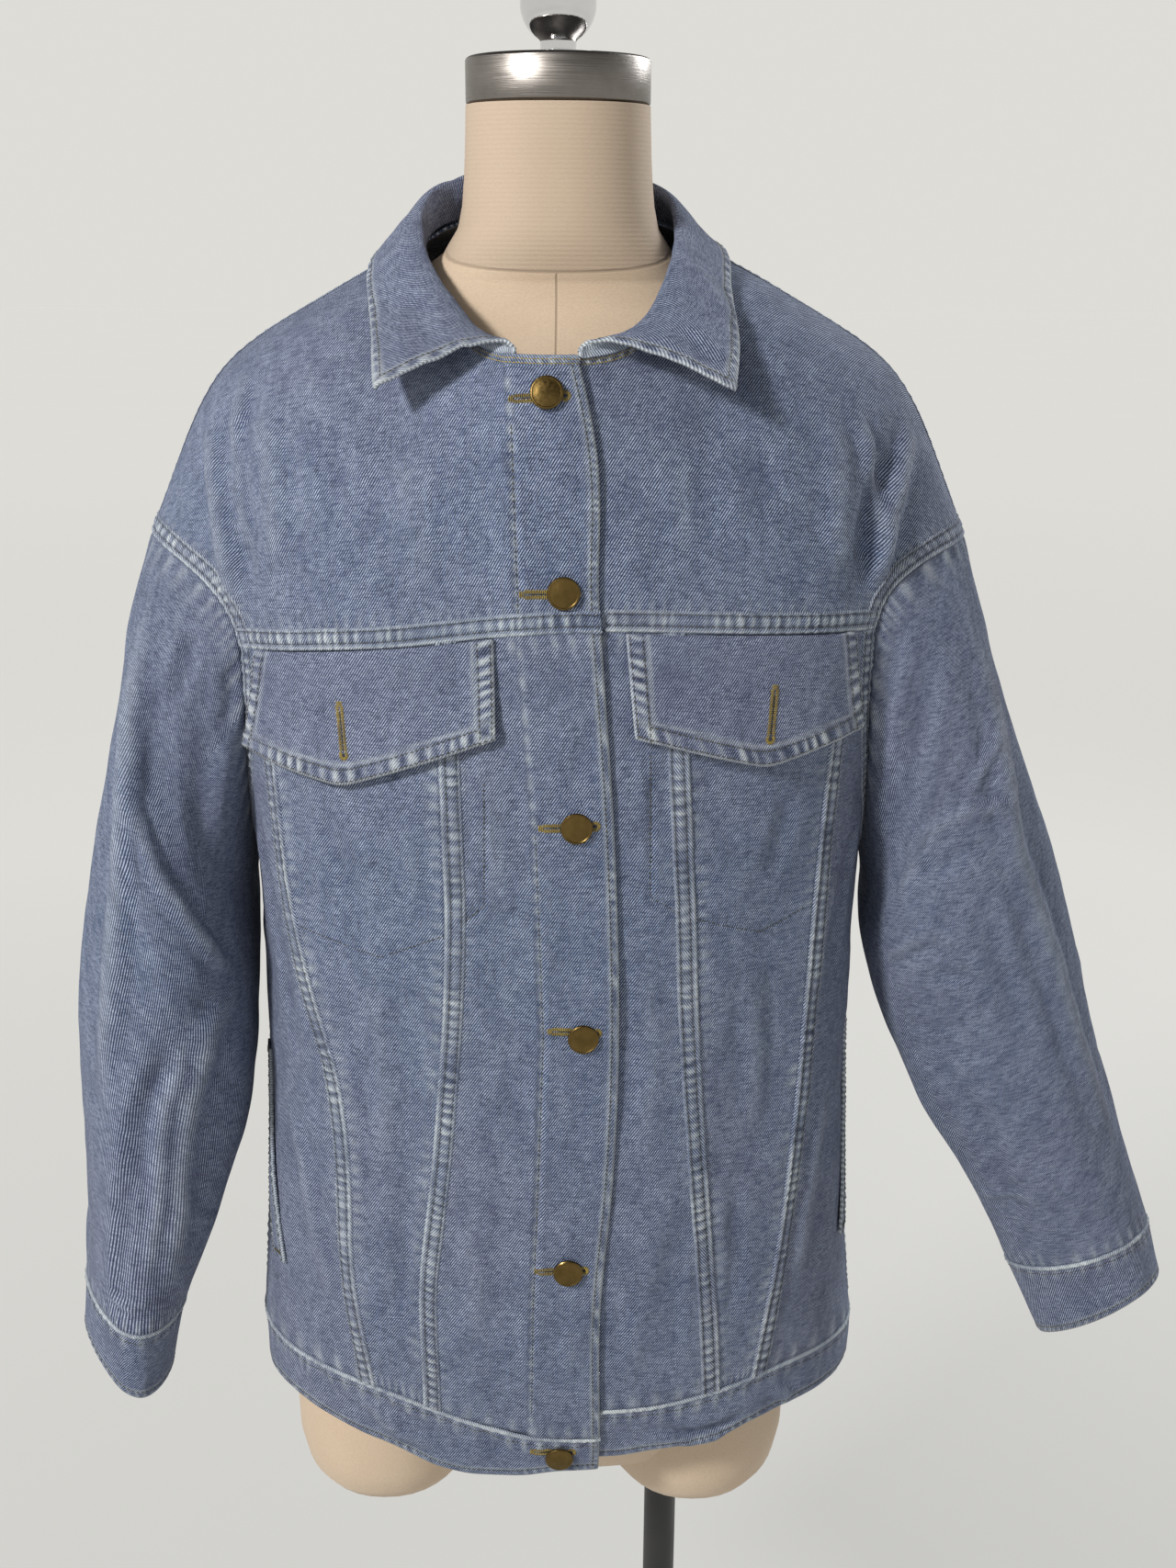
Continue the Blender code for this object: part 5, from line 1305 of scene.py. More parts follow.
creases = {
    # width, depth (ridge +, trough -), and the places of the line on that view, all in mm
    ("hem_band", "front"): (
        (9, -2.2, -150, 726, -138, 704), (9, 2.4, -122, 716, -96, 690, -70, 684),
        (6, -2, -104, 712, -80, 700), (8, -1.8, -46, 704, -30, 684), (7, -2.2, 52, 706, 86, 694, 120, 704),
        (7, 2, 74, 690, 108, 686), (8, 2, 136, 716, 150, 700),
    ),
    ("hem_band", "back"): (
        (9, 2.2, -140, 716, -112, 700), (8, -2, -66, 712, -30, 698), (10, 1.8, 10, 708, 34, 692),
        (8, -2.2, 74, 714, 112, 700), (9, 2, 130, 712, 146, 696),
    ),
    ("hem_band", "outside"): (
        (9, -2, 40, 720, 12, 702),
    ),
    ("collar", "front"): (
        (14, 1.6, -110, 1372, -92, 1340), (12, -1.4, -78, 1366, -62, 1338), (10, 1.4, -50, 1344, -40, 1330),
        (12, -1.5, 62, 1352, 84, 1330), (13, 1.6, 78, 1378, 96, 1348),
    ),
    ("collar", "back"): (
        (12, -1.2, -70, 1430, -58, 1410), (14, 1.2, 20, 1436, 30, 1410),
    ),
    ("front_yoke_right", "front"): (
        (11, 4.2, -192, 1300, -186, 1250, -174, 1192), (12, -3, -176, 1296, -168, 1245, -163, 1205),
        (15, 2.4, -158, 1313, -151, 1262, -148, 1214),
        (9, 2.6, -169, 1325, -176, 1289, -171, 1251, -158, 1209), (16, -1.6, -120, 1300, -110, 1262),
        (18, 1.2, -78, 1292, -70, 1240, -72, 1214), (10, -1.2, -46, 1268, -34, 1242),
    ),
    ("front_yoke_left", "front"): (
        (11, 4.2, 197, 1296, 183, 1252, 174, 1205), (12, -3.2, 180, 1290, 168, 1250, 162, 1214),
        (15, 2.2, 150, 1306, 150, 1262, 152, 1222), (9, 2.8, 158, 1314, 170, 1282, 178, 1243, 173, 1206),
        (17, -1.4, 104, 1300, 112, 1250), (16, 1.2, 62, 1286, 70, 1236),
    ),
    ("back_yoke", "back"): (
        (12, 4, -186, 1318, -178, 1276, -172, 1232), (14, -2.6, -162, 1310, -158, 1268),
        (12, 3.8, 189, 1312, 180, 1270, 176, 1236), (14, -2.8, 160, 1320, 154, 1262, 158, 1240),
        (19, 1.6, -104, 1340, -96, 1276, -100, 1244), (18, 1.5, 86, 1330, 94, 1282),
        (12, -1.4, -52, 1372, -10, 1364, 40, 1372), (20, -1.2, 20, 1296, 26, 1240),
    ),
    ("front_centre_right", "front"): (
        (14, 1.2, -40, 1150, -30, 1080, -34, 1030), (9, 1, -22, 1040, 4, 1016),
        (8, -0.9, 18, 1150, 10, 1120), (12, -1.2, -30, 940, -10, 905, 6, 870),
        (14, 1.4, -50, 860, -46, 800, -52, 756), (10, 0.9, 14, 800, 8, 748),
    ),
    ("front_centre_left", "front"): (
        (13, -1.4, 60, 1140, 54, 1080), (13, 1.4, 48, 1030, 56, 950, 50, 890),
        (14, -1.6, 72, 860, 66, 800, 74, 752), (10, 1.2, 50, 800, 46, 742),
    ),
    ("front_mid_right", "front"): (
        (12, -1.6, -128, 1096, -112, 1052, -104, 1030), (13, 1.6, -104, 1000, -96, 930, -102, 872),
        (11, -1.4, -88, 880, -90, 816, -98, 764), (10, 1, -80, 1090, -72, 1044),
    ),
    ("front_mid_left", "front"): (
        (12, -1.4, 128, 1104, 118, 1056), (13, 1.6, 110, 1010, 116, 940, 112, 890),
        (10, -1.4, 104, 880, 108, 820, 106, 770),
    ),
    ("front_side_right", "front"): (
        (12, -2.2, -176, 1080, -160, 1000, -150, 930), (11, 2, -160, 900, -146, 820, -136, 766),
    ),
    ("front_side_right", "outside"): (
        (14, -2, -30, 1010, -24, 950, -32, 900),
    ),
    ("front_side_left", "front"): (
        (12, -2.2, 176, 1100, 162, 1020, 158, 950), (11, 2, 164, 920, 152, 840, 146, 780),
    ),
    ("front_side_left", "outside"): (
        (14, -1.8, -34, 1000, -28, 930),
    ),
    ("back_side_right", "back"): (
        (15, 2.4, -158, 1180, -148, 1100, -150, 1020), (15, -2.2, -126, 1120, -118, 1030, -122, 930),
        (14, 2.2, -160, 960, -150, 870, -154, 780), (13, -1.8, -112, 900, -118, 830, -110, 750),
    ),
    ("back_side_right", "outside"): (
        (14, -2, 40, 1060, 30, 980, 36, 900),
    ),
    ("back_side_left", "back"): (
        (15, 2.4, 162, 1176, 154, 1096, 158, 1030), (15, -2, 124, 1130, 120, 1050, 114, 960),
        (13, 2.2, 158, 950, 150, 880, 156, 800), (13, -2, 116, 880, 110, 810, 116, 744),
    ),
    ("back_side_left", "outside"): (
        (14, -2, 44, 1050, 34, 960),
    ),
    ("back_centre", "back"): (
        (16, 1.8, -50, 1190, -44, 1110, -50, 1040), (18, -1.8, 18, 1180, 12, 1080, 20, 990),
        (14, 1.8, 60, 1160, 54, 1070, 48, 1000), (16, 1.6, -20, 970, -26, 880, -18, 800),
        (13, -1.6, 40, 900, 34, 820, 40, 760), (12, 1.4, -52, 830, -46, 762),
    ),
    ("sleeve_right", "front"): (
        (16, 4.5, -229, 1211, -235, 1167, -240, 1118, -249, 1045, -263, 947, -275, 879),
        (10, 3, -239, 1104, -224, 1055, -208, 1021, -190, 972),
        (16, 4.5, -190, 972, -208, 935, -224, 870, -233, 803, -241, 755), (6, 1.5, -227, 828, -215, 801),
        (9, -3, -202, 1185, -212, 1144), (9, -4, -180, 1169, -186, 1124),
        (14, -3.4, -198, 1184, -196, 1138, -202, 1084, -200, 1040),
        (9, 3.4, -206, 965, -229, 911, -238, 848, -252, 770), (12, -3, -222, 948, -246, 892, -256, 830),
        (6, 1.6, -280, 772, -262, 764, -246, 770), (10, -2.2, -256, 860, -266, 800, -270, 760),
    ),
    ("sleeve_right", "outside"): (
        (18, 3.2, 20, 1200, 14, 1110, 4, 1030), (13, -3, 30, 1010, -6, 960, -46, 940),
        (13, 3, 18, 960, -20, 910, -40, 850), (12, 2.6, -10, 860, -36, 800, -50, 760),
    ),
    ("sleeve_right", "back"): (
        (16, 3.4, -222, 1190, -232, 1110, -240, 1050), (13, -3, -204, 1140, -214, 1060, -216, 1010),
        (10, 2.6, -256, 1010, -236, 972, -214, 958), (10, -2.6, -262, 960, -240, 930, -222, 925),
        (14, 3.2, -236, 900, -252, 830, -262, 770), (10, -2, -264, 870, -276, 810),
    ),
    ("sleeve_left", "front"): (
        (16, 4, 220, 1208, 240, 1167, 251, 1128, 263, 1064, 293, 988, 325, 907, 358, 831),
        (6, 2, 231, 1102, 242, 1112, 248, 1129), (7, -1.8, 230, 1097, 260, 1098),
        (10, 2, 220, 1084, 206, 1046, 199, 1021), (6, -1.6, 209, 945, 230, 950, 247, 960),
        (6, 1.5, 268, 820, 284, 836, 300, 832), (9, -3.4, 190, 1200, 184, 1150, 190, 1110),
        (15, -4.4, 204, 1186, 202, 1130, 196, 1080, 198, 1030),
        (7, 2.8, 200, 1060, 230, 1087, 248, 1090, 266, 1072), (8, -3, 206, 1044, 232, 1066, 252, 1068),
        (7, 2.6, 197, 988, 216, 1013, 242, 1003), (8, -2.4, 214, 986, 236, 988, 262, 972),
        (14, -2.6, 230, 930, 262, 880, 290, 800), (12, -2.4, 240, 1040, 262, 980, 276, 940),
    ),
    ("sleeve_left", "outside"): (
        (18, 3.2, 10, 1190, 6, 1110, -4, 1040), (13, -3, 34, 1000, 0, 964, -36, 950),
        (13, 3, 10, 950, -16, 900, -30, 850),
    ),
    ("sleeve_left", "back"): (
        (16, 3.4, 228, 1190, 240, 1120, 250, 1060), (13, -2.8, 208, 1130, 222, 1060, 232, 1010),
        (10, 2.6, 284, 1000, 264, 974, 238, 960), (10, -2.6, 302, 950, 276, 930, 252, 926),
        (14, 3, 276, 900, 300, 840, 322, 790),
    ),
}
gathers = {
    # edge, reach, size, pitch in mm, seed: small ripples along the sewn edges
    "front_centre_right": (("lowX", 20, 0.25, 9, 3), ("top", 14, 0.25, 10, 4), ("foot", 16, 0.45, 11, 5)),
    "front_centre_left": (("highX", 20, 0.25, 9, 6), ("top", 14, 0.25, 10, 7), ("foot", 16, 0.45, 11, 8)),
    "front_mid_right": (("highX", 12, 0.35, 8.5, 9), ("lowX", 12, 0.35, 8.8, 10), ("foot", 16, 0.5, 11, 11)),
    "front_mid_left": (("lowX", 12, 0.35, 8.5, 12), ("highX", 12, 0.35, 8.8, 13), ("foot", 16, 0.5, 11, 14)),
    "front_side_right": (("highX", 20, 0.3, 9, 15), ("foot", 18, 0.6, 11.5, 16)),
    "front_side_left": (("lowX", 20, 0.3, 9, 17), ("foot", 18, 0.6, 11.5, 18)),
    "back_side_right": (("highX", 14, 0.35, 8.8, 19), ("foot", 18, 0.6, 11.5, 20), ("top", 14, 0.3, 10, 21)),
    "back_side_left": (("lowX", 14, 0.35, 8.8, 22), ("foot", 18, 0.6, 11.5, 23), ("top", 14, 0.3, 10, 24)),
    "back_centre": (
        ("lowX", 18, 0.25, 9, 25), ("highX", 18, 0.25, 9, 26), ("foot", 18, 0.55, 11.5, 27),
        ("top", 14, 0.3, 10, 28),
    ),
    "front_yoke_right": (("foot", 22, 0.22, 9.5, 29), ("lowX", 20, 0.45, 10.5, 30)),
    "front_yoke_left": (("foot", 22, 0.22, 9.5, 31), ("highX", 20, 0.45, 10.5, 32)),
    "back_yoke": (("foot", 22, 0.22, 9.5, 33), ("lowX", 20, 0.45, 10.5, 34), ("highX", 20, 0.45, 10.5, 35)),
    "sleeve_right": (("foot", 22, 0.75, 11.5, 11), ("top", 16, 0.6, 13, 12)),
    "sleeve_left": (("foot", 22, 0.75, 11.5, 14), ("top", 16, 0.6, 13, 15)),
    "cuff_right": (("foot", 14, 0.35, 10, 21),),
    "cuff_left": (("foot", 14, 0.35, 10, 21),),
    "hem_band": (("top", 16, 0.75, 10.5, 31),),
}
borders = {
    # edge, width and rise in mm, seed, pucker, roll in mm, pitch where it isn't the usual one
    "front_centre_right": (("highX", 4.2, 0.25, 3, 0.35, 0.7),),
    "front_yoke_right": (("highX", 4.2, 0.25, 3, 0.35, 0.7),),
    "cuff_right": (("top", 5.0, 0.0, 22, 0.3, 0.8),),
    "cuff_left": (("top", 5.0, 0.0, 22, 0.3, 0.8),),
    "hem_band": (("foot", 5.5, 0.0, 32, 0.3, 0.8), ("highX", 4.0, 0.0, 33, 0.3, 0.8)),
}
for node, edges, seed, width, rise, *rest in (
    ("collar", ("top", "lowX", "highX"), 41, 5.2, 0.2, 0.5, 0.8, 8.2),
    ("flap_right", ("foot", "lowX", "highX"), 56, 10.0, 0.4, 0.55, 0.8, 8.0),
    ("flap_left", ("foot", "lowX", "highX"), 55, 10.0, 0.4, 0.55, 0.8, 8.0),
    ("welt_right", ("lowX", "highX"), 66, 3.0, 0.15, 0.4, 0.6),
    ("welt_left", ("lowX", "highX"), 65, 3.0, 0.15, 0.4, 0.6),
):
    borders[node] = [(edge, width, rise, seed + index, *rest) for index, edge in enumerate(edges)]
facingLine = list(zip(frontEdge["facing"], frontEdge["height"]))
drawnRows = (
    # pieces, and the line of the stitches drawn flat on the front
    (("front_centre_right",), [place for place in facingLine if 0.70 < place[1] < 1.20]),
    (("front_yoke_right",), [(-0.0178, 1.204), *(place for place in facingLine if 1.204 < place[1] < 1.33)]),
    (
        ("front_centre_right", "front_mid_right"),
        ((-0.037, 1.120), (-0.038, 1.049), (-0.057, 1.032), (-0.097, 1.013), (-0.150, 1.021)),
    ),
    (
        ("front_centre_left", "front_mid_left"),
        ((0.051, 1.135), (0.052, 1.054), (0.073, 1.041), (0.115, 1.025), (0.144, 1.035)),
    ),
)
drawnTrough = (0.0036, -0.0008)  # width and depth of the hollow along each of them

print("cloth pieces")
for node, (kind, rows, columns) in clothPieces.items():
    facts = clothKinds[kind]
    sheet = fineSheet(node, rows, columns, facts["rim"], facts["ring"])
    for (name, view), lines in creases.items():
        for width, depth, *places in lines if name == node else ():
            addCrease(sheet, view, np.reshape(places, (-1, 2)) / 1000, width / 1000, depth / 1000)
    for nodes, line in drawnRows:
        if node in nodes:
            addCrease(sheet, "front", line, *drawnTrough)
    roughenSheet(sheet, *facts["uneven"])
    applyLift(sheet, facts["held"], facts["hold"])
    for edge, reach, size, pitch, seed in gathers.get(node, ()):
        ripples(sheet, edge, reach / 1000, size / 1000, pitch / 1000, seed)
    if node in ("front_centre_right", "front_yoke_right"):
        facingStep(sheet)
    for edge, width, rise, seed, pucker, roll, *pitch in borders.get(node, ()):
        pitch = [value / 1000 for value in pitch]
        edgeBand(sheet, edge, width / 1000, rise / 1000, seed, pucker, roll / 1000, *pitch)
    finishSheet(sheet, facts["slot"], facts["wall"])

seams = {
    # name, piece, edge, height, and for a part of an edge the axis that tells where it starts and ends
    "felled": (
        ("yokeSeamRight", "front_yoke_right", "foot", 1.0),
        ("yokeSeamLeft", "front_yoke_left", "foot", 1.0, 0, 0.0262, 0.18),
        ("yokeSeamBack", "back_yoke", "foot", 1.0),
        ("armholeFrontRight", "front_yoke_right", "lowX", 0.9),
        ("armholeFrontLeft", "front_yoke_left", "highX", 0.9),
        ("armholeBackRight", "back_yoke", "lowX", 0.9),
        ("armholeBackLeft", "back_yoke", "highX", 0.9),
        ("armholeUnderFrontRight", "front_side_right", "lowX", 0.7, 2, 1.044, 1.178),
        ("armholeUnderFrontLeft", "front_side_left", "highX", 0.7, 2, 1.044, 1.19),
        ("armholeUnderBackRight", "back_side_right", "lowX", 0.8, 2, 1.044, 1.213),
        ("armholeUnderBackLeft", "back_side_left", "highX", 0.8, 2, 1.044, 1.213),
        ("frontSeamInnerRight", "front_centre_right", "lowX", 1.0),
        ("frontSeamInnerLeft", "front_centre_left", "highX", 1.0),
        ("frontSeamOuterRight", "front_side_right", "highX", 1.0, 2, 0.724, 1.16),
        ("frontSeamOuterLeft", "front_side_left", "lowX", 1.0, 2, 0.73, 1.17),
        ("backSeamRight", "back_centre", "lowX", 1.0),
        ("backSeamLeft", "back_centre", "highX", 1.0),
        ("sideSeamRight", "back_side_right", "lowX", 0.8, 2, 0.718, 1.04),
        ("sideSeamLeft", "back_side_left", "highX", 0.8, 2, 0.713, 1.04),
        ("shoulderSeamRight", "back_yoke", "top", 0.45, 0, -0.233, -0.082),
        ("shoulderSeamLeft", "back_yoke", "top", 0.45, 0, 0.082, 0.233),
    ),
    "binding": (
        ("neckBindingRight", "front_yoke_right", "top", 1.0, 0, -0.0735, 0.0125),
        ("neckBindingLeft", "front_yoke_left", "top", 1.0, 0, 0.0125, 0.0735),
    ),
    "narrow": (
        ("hemSeam", "hem_band", "top", 1.0),
        ("cuffSeamRight", "cuff_right", "foot", 1.0),
        ("cuffSeamLeft", "cuff_left", "foot", 1.0),
    ),
}
seamRows = {
    # distance in from the edge, and the thread
    "felled": ((0.0024, "olive"), (0.0084, "olive")),
    "binding": ((0.0004, "ochre"), (0.0026, "ochre")),
    "narrow": ((0.0050, "olive"),),
}
edgeRows = [
    # piece, edge, distance in: rows sewn straight on the piece
    ("front_centre_right", "highX", 0.0042),
    ("front_yoke_right", "highX", 0.0042),
    ("collar", "top", 0.0052),
    ("collar", "lowX", 0.0052),
    ("collar", "highX", 0.0052),
    ("hem_band", "foot", 0.0050),
    ("hem_band", "highX", 0.0040),
    ("cuff_right", "top", 0.0050),
    ("cuff_left", "top", 0.0050),
]
for side in ("right", "left"):
    for edge in ("lowX", "highX", "foot"):
        edgeRows += [("flap_" + side, edge, 0.0020), ("flap_" + side, edge, 0.0088)]
    edgeRows += [("welt_" + side, "lowX", 0.0020), ("welt_" + side, "highX", 0.0020)]

print("seams")
for shape, rows in seams.items():
    for name, node, edge, height, *ends in rows:
        sheet, span = sheets[node], (0.0, 1.0)
        if ends:
            span = [shareAt(sheet, edge, ends[0], value) for value in ends[1:]]
        strip = feltSeam(name, sheet, edge, shape, height, span)
        for distance, thread in seamRows[shape]:
            if distance < strip[2][-1]:
                stitchAlong(*strip, distance, thread)
            else:
                stitchEdge(sheet, edge, distance, thread)
for node, edge, distance in edgeRows:
    sheet, margin = sheets[node], 0.0
    if edge in ("foot", "top") and not sheet["ring"] and node != "hem_band":
        margin = min(distance / lengthsAlong(rail(sheet, edge)[0][:, 0])[-1], 0.2)
    stitchEdge(sheet, edge, distance, span=(margin, 1.0 - margin))
for nodes, line in drawnRows:
    stitchOnCloth(nodes, line)

buttonholeSettings = {
    "pitch": 0.00090,
    "width": 0.0024,
    "slit": 0.0004,
    "eyelet": 0.0030,
    "hole": 0.0012,
    "round": 17,
    "bar": 0.8,
    "uneven": 0.00035,
    "places": (
        # piece, start and end on the front, in mm
        ("front_yoke_right", (-21.0, 1316.5), (8.5, 1318.5)),
        ("front_yoke_right", (-15.5, 1220.5), (14.0, 1221.0)),
        ("front_centre_right", (-6.0, 1095.5), (25.0, 1097.0)),
        ("front_centre_right", (-1.5, 977.0), (26.5, 975.5)),
        ("front_centre_right", (-9.5, 822.5), (20.0, 823.5)),
        ("hem_band", (-13.0, 690.0), (13.0, 690.0)),
        ("flap_right", (-114.5, 1157.0), (-112.5, 1127.0)),
        ("flap_left", (117.0, 1167.0), (115.0, 1137.0)),
    ),
}
barSettings = {
    "width": 0.0022,
    "pitch": 0.0006,
    "uneven": 0.0003,
    "places": (
        # piece, start and end on the outside, in mm
        ("welt_right", (-30.0, 908.0), (-22.5, 907.5)),
        ("welt_right", (-73.0, 790.0), (-66.0, 789.5)),
        ("welt_left", (-32.0, 932.0), (-22.0, 932.0)),
        ("welt_left", (-63.0, 805.0), (-52.0, 805.0)),
    ),
}

print("buttonholes and bars")
for sew, cut in ((sewButtonhole, buttonholeSettings), (sewBar, barSettings)):
    for node, *ends in cut["places"]:
        sew((node,), *(np.array(place) / 1000 for place in ends))

print("stitches")
makeStitches("oliveStitches", "olive", oliveThread, 1)
makeStitches("ochreStitches", "ochre", ochreThread, 2)
for name, thread, material, radius, lift in (
    ("ochreBars", "ochre", ochreThread, 0.00038, 0.00055),
    ("oliveBars", "olive", oliveThread, 0.00034, 0.00040),
    # dark slit lines and hole dots: painted shade
    ("slits", "dark", paintedGapShade, 0.00036, 0.00010),
    ("eyelets", "hole", paintedGapShade, 0.00085, 0.00005),
):
    makeLooseStitches(name, thread, material, radius, lift)


formSettings = {
    # height, centre y, half width, front depth, back depth, in mm
    "sections": (
        (624, 2, 110, 40, 40), (626.2, 2, 134, 59, 60.5), (630, 2, 150, 72, 74),
        (635, 2, 159.8, 82.6, 84.6), (642, 2, 166, 90, 92), (660, 2, 172, 99, 102), (720, 3, 174, 104, 110),
        (790, 3, 168, 102, 106), (870, 2, 148, 96, 96), (950, 1, 129, 90, 85), (1020, 0, 133, 94, 86),
        (1100, 0, 151, 106, 97), (1180, 0, 165, 114, 106), (1240, 1, 177, 108, 110),
        (1280, 3, 185, 101, 106), (1305, 6, 181, 93, 98), (1325, 10, 173, 84, 87), (1342, 14, 153, 73, 76),
        (1356, 16, 127, 65, 66), (1370, 14, 86.6, 59.3, 60), (1385, 7, 64.1, 58.5, 56),
        (1400, 3, 55, 55, 53), (1425, 1, 51.5, 51.5, 51), (1460.9, 0, 50, 50, 50),
    ),
    "lean": ((0.580, 0.700, 1.000, 1.200, 1.500), (-0.0120, -0.0110, -0.0040, 0.0, 0.0)),
    # height, half width, half depth of the short lower ends, in mm
    "stubs": (
        (602, 32, 55), (602.8, 38.8, 63.4), (604, 43.5, 69), (606.4, 49.4, 75.4), (610, 54.5, 81),
        (620, 61, 88.5), (635, 64, 92), (655, 64.4, 92.5), (690, 61, 89),
    ),
    "stubCentre": 0.1005,
    "power": 2.25,
    "segments": 72,
    "stubSegments": 56,
}


def steadyCurve(table, value, column):
    # smooth values between the rows of a table, without overshoot
    heights = [row[0] for row in table]
    values = [row[column] for row in table]
    slopes = []
    for index in range(len(table)):
        low, high = max(index - 1, 0), min(index + 1, len(table) - 1)
        slopes.append((values[high] - values[low]) / (heights[high] - heights[low]))
    index = min(max(np.searchsorted(heights, value) - 1, 0), len(table) - 2)
    gap = heights[index + 1] - heights[index]
    share = (value - heights[index]) / gap
    left = 1 - share
    value = (1 + 2 * share) * left**2 * values[index] + share**2 * (3 - 2 * share) * values[index + 1]
    return value + gap * (share * left**2 * slopes[index] - share**2 * left * slopes[index + 1])


def ovalLoft(rows, segments, power):
    # a round shape drawn up through oval rings: height, centre x and y, half width, front and back depth
    bm = bmesh.new()
    made = bmesh.ops.create_circle(bm, cap_ends=True, segments=segments, radius=1.0)
    ring = made["verts"]
    turns = [math.atan2(vert.co.x, -vert.co.y) for vert in ring]

    def place(verts, row):
        height, x, y, half, front, back = row
        for vert, turn in zip(verts, turns):
            side, ahead = math.sin(turn), math.cos(turn)
            depth = front if ahead > 0 else back
            radius = ((abs(side) / half) ** power + (abs(ahead) / depth) ** power) ** (-1 / power)
            vert.co = (x + radius * side, y - radius * ahead, height)

    place(ring, rows[0])
    edges = [edge for edge in bm.edges if len(edge.link_faces) == 1]
    for row in rows[1:]:
        before = {vert: index for index, vert in enumerate(ring)}
        made = bmesh.ops.extrude_edge_only(bm, edges=edges)["geom"]
        fresh = [item for item in made if isinstance(item, bmesh.types.BMVert)]
        edges = [item for item in made if isinstance(item, bmesh.types.BMEdge) and len(item.link_faces) == 1]
        order = {}
        for vert in fresh:
            old = next(edge.other_vert(vert) for edge in vert.link_edges if edge.other_vert(vert) in before)
            order[before[old]] = vert
        ring = [order[index] for index in range(len(ring))]
        place(ring, row)
    bmesh.ops.contextual_create(bm, geom=edges)
    bmesh.ops.recalc_face_normals(bm, faces=bm.faces)
    return bm


def latheProfile(profile, segments):
    # spins a line of radius and height round the upright axis
    bm = bmesh.new()
    verts = [bm.verts.new((radius, 0.0, height)) for radius, height in profile]
    edges = [bm.edges.new(pair) for pair in zip(verts, verts[1:])]
    spin = {"cent": (0, 0, 0), "axis": (0, 0, 1), "angle": math.tau, "steps": segments}
    bmesh.ops.spin(bm, geom=verts + edges, use_merge=True, **spin)
    bmesh.ops.remove_doubles(bm, verts=bm.verts, dist=1e-6)
    bmesh.ops.dissolve_degenerate(bm, edges=bm.edges, dist=1e-7)
    bmesh.ops.recalc_face_normals(bm, faces=bm.faces)
    return bm


def finishPiece(name, bm, material, node, crease):
    mesh = meshFrom(bm, name)
    mesh.set_sharp_from_angle(angle=math.radians(crease))
    mesh.materials.append(material)
    piece = addObject(name, mesh)
    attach(piece, "root")
    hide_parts(node)
    return piece


print("dress form")
cut = formSettings
sections, stubs = ([[value / 1000 for value in row] for row in cut[word]] for word in ("sections", "stubs"))
heights = sorted({row[0] for row in sections} | set(np.arange(0.66, 1.46, 0.0125).round(4)))
rows = []
for height in heights:
    y, half, front, back = (steadyCurve(sections, height, column) for column in (1, 2, 3, 4))
    rows.append((height, float(np.interp(height, *cut["lean"])), y, half, front, back))
bm = ovalLoft(rows, cut["segments"], cut["power"])
torso = finishPiece("formTorso", bm, formCloth, "form_torso", 50)
for side in (-1, 1):
    x = cut["lean"][1][0] + side * cut["stubCentre"]
    rows = [(height, x, sections[0][1], half, depth, depth) for height, half, depth in stubs]
    stub = addObject("stub", meshFrom(ovalLoft(rows, cut["stubSegments"], cut["power"]), "stub"))
    joined = torso.modifiers.new("stub", "BOOLEAN")
    joined.operation = "UNION"
    joined.object = stub
    torso.data = applied(torso)
    bpy.data.objects.remove(stub)
torso.data.shade_smooth()
torso.data.set_sharp_from_angle(angle=math.radians(40))

standSettings = {
    # radius and height in mm
    "cap": (
        (0, 1461.2), (48.2, 1461.2), (49.2, 1461.5), (50, 1462.4), (50, 1483.4), (49.4, 1484.4),
        (48.4, 1485), (44, 1485), (43.4, 1484.7), (12.5, 1484.7), (12, 1485), (0, 1485),
    ),
    "shank": ((0, 1485.3), (11.2, 1485.3), (11.6, 1485.9), (11.4, 1486.7), (10, 1487.5), (9.6, 1489.3)),
    "pole": (
        (0, 14.2), (38, 14.2), (38, 20.5), (37.4, 21.6), (36.4, 22), (14, 22), (11.8, 23), (11, 25),
        (11, 600.7), (10, 601.7), (0, 601.7),
    ),
    "plate": ((0, 0), (168.5, 0), (169.6, 0.4), (170, 1.5)),
    "knobRadius": 20.5,
    "knobCentre": 1511.8,
    "shankRadius": 10.6,  # where the knob starts
    "poleX": 71.5,
    "baseRim": (166, 10, 4),  # radius, height and size of its rounding
    "baseHeight": 14,
    "sharpAngle": 35,
}
buttonSettings = {
    # radius, height over the cloth, in mm
    "profile": (
        (0, 0), (4.2, 0), (4.2, 1), (7.8, 1.1), (8.4, 1.5), (8.6, 2), (8.5, 2.6), (8.1, 3), (7.6, 3.1),
        (7.2, 2.85), (6.6, 2.9), (5, 3.25), (3, 3.5), (0, 3.6),
    ),
    "segments": 48,
    "sharpAngle": 30,
}


def arcPlaces(radius, height, size, first, steps):
    # an arc from an angle up to the top, in a lathe profile
    angles = [first + (math.pi / 2 - first) * step / steps for step in range(steps + 1)]
    return [(max(radius + size * math.cos(angle), 0.0), height + size * math.sin(angle)) for angle in angles]


def turned(profile, segments):
    return latheProfile([(radius / 1000, height / 1000) for radius, height in profile], segments)


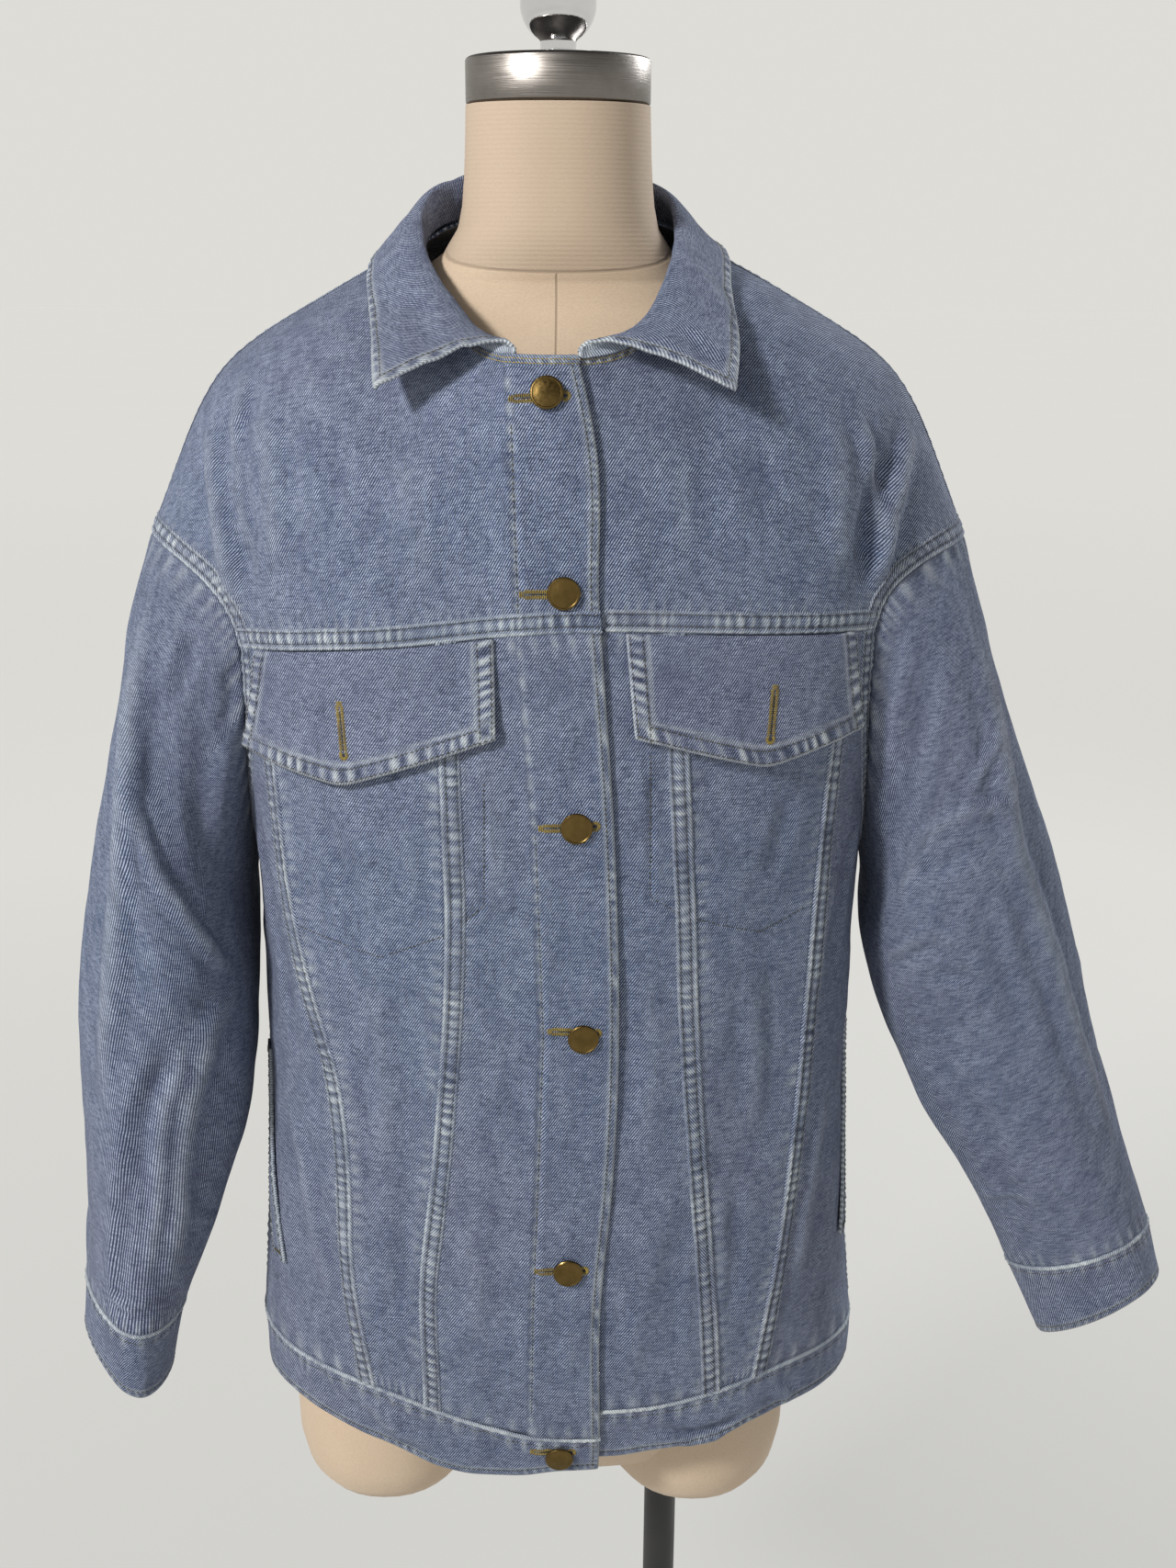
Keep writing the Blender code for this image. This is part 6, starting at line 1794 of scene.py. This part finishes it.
print("stand")
cut = standSettings
sharp = cut["sharpAngle"]
finishPiece("neckCap", turned(cut["cap"], 96), steel, "form_neck_cap", sharp)
ball, middle = cut["knobRadius"], cut["knobCentre"]
first = -math.acos(cut["shankRadius"] / ball)
knob = [*cut["shank"], (9.8, middle + ball * math.sin(first) - 1.0)]
knob += arcPlaces(0.0, middle, ball, first, 20)
finishPiece("knob", turned(knob, 64), chrome, "form_knob", sharp)
bm = turned(cut["pole"], 48)
bmesh.ops.translate(bm, verts=bm.verts, vec=(cut["poleX"] / 1000, 0, 0))
finishPiece("standPole", bm, blackPaint, "form_pole", sharp)
plate = [*cut["plate"], *arcPlaces(*cut["baseRim"], 0.0, 8), (0, cut["baseHeight"])]
finishPiece("standBase", turned(plate, 96), blackPaint, "form_base", sharp)

print("buttons")
for index in range(1, 7):
    node = f"button_{index}"
    places = np.array([vert.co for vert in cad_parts[node].data.vertices])
    centre = (places.min(axis=0) + places.max(axis=0)) / 2
    spread = np.unique(places.round(5), axis=0)
    outwards = np.linalg.svd(spread - spread.mean(axis=0))[2][2]
    outwards = outwards * (-1.0 if outwards[1] > 0 else 1.0)
    depth = (places - centre) @ outwards
    bm = turned(buttonSettings["profile"], buttonSettings["segments"])
    turn = Vector((0, 0, 1)).rotation_difference(Vector(outwards)).to_matrix().to_4x4()
    axle = Matrix.Translation(centre + outwards * depth.min())
    bmesh.ops.transform(bm, matrix=axle @ turn, verts=bm.verts)
    finishPiece(f"brassButton{index}", bm, brass, node, buttonSettings["sharpAngle"])

stageSettings = {
    "floorSize": 60.0,
    "floor": (0.240, 0.242, 0.238),
    "glowColour": (1.0, 0.985, 0.935),
    "floorGlow": ((0.6, 0.440), (3.0, 0.620), (9.0, 0.661)),  # distance, glow
    "worldDim": (0.110, 0.112, 0.115),
    "worldBright": (0.730, 0.718, 0.680),
    "worldBand": (0.22, 0.60),  # pale up to here, dim from here on
    "lights": {
        # place, width and height, power, colour
        "keyLight": ((-1.6, -1.7, 2.6), 0.38, 72.0, (1.0, 0.985, 0.96)),
        "backLight": ((1.8, 1.6, 2.5), 0.9, 46.0, (0.97, 0.985, 1.0)),
    },
    "lightTarget": (0.0, 0.0, 1.1),
    "camera": (0.018, -0.988, 1.400),
    "tilt": 71.8,
    "roll": 0.3,
    "filmHeight": 36.0,
    "lens": 1850 / 1707 * 36,
}

print("floor, lights and camera")
cut = stageSettings
bm = bmesh.new()
bmesh.ops.create_grid(bm, x_segments=4, y_segments=4, size=cut["floorSize"] / 2)
floor = addObject("floor", meshFrom(bm, "floor", smooth=False))
material, tree, shader = newMaterial("glowingFloor")
cloud = rangeNode(tree, noiseNode(tree, objectPlace(tree), 1.3, 3.0), 0.3, 0.7)
apart = addNode(tree, "VectorMath", {0: objectPlace(tree)}, operation="LENGTH").outputs["Value"]
# the floor glows, dimmer near the stand and brighter far off: a painted glow that also lights the jacket
# from below
(near, dim), (middle, half), (far, full) = cut["floorGlow"]
first = rangeNode(tree, apart, near, middle, dim, half)
second = rangeNode(tree, apart, middle, far, 0.0, full - half)
feed(tree, shader, {
    "Base Color": mixColour(tree, cloud, cut["floor"], tuple(value * 0.96 for value in cut["floor"])),
    "Roughness": 0.90,
    "Specular IOR Level": 0.1,
    "Emission Color": cut["glowColour"],
    "Emission Strength": mathNode(tree, "ADD", first, second),
})
floor.data.materials.append(material)

world = bpy.data.worlds.new("studio")
bpy.context.scene.world = world
world.use_nodes = True
tree = world.node_tree
upwards = addNode(tree, "SeparateXYZ", {0: addNode(tree, "TexCoord").outputs["Generated"]}).outputs["Z"]
share = rangeNode(tree, upwards, *cut["worldBand"])
feed(tree, tree.nodes["Background"], {"Color": mixColour(tree, share, cut["worldBright"], cut["worldDim"])})

for name, (place, size, power, colour) in cut["lights"].items():
    light = bpy.data.lights.new(name, "AREA")
    light.shape = "RECTANGLE"
    light.size = light.size_y = size
    light.energy = power
    light.color = colour
    lamp = addObject(name, light)
    lamp.location = place
    lamp.rotation_euler = (Vector(cut["lightTarget"]) - Vector(place)).to_track_quat("-Z", "Y").to_euler()

camera = bpy.data.cameras.new("camera")
camera.sensor_fit = "VERTICAL"
camera.sensor_height = cut["filmHeight"]
camera.lens = cut["lens"]
cameraPiece = addObject("camera", camera)
tilt = Matrix.Rotation(math.radians(cut["tilt"]), 4, "X")
roll = Matrix.Rotation(math.radians(cut["roll"]), 4, "Z")
cameraPiece.matrix_world = Matrix.Translation(cut["camera"]) @ tilt @ roll
bpy.context.scene.camera = cameraPiece
bpy.context.scene.view_settings.view_transform = "Standard"

print("cloth sizes")
for sheet in sheets.values():
    width, length = flatSize(sheet)
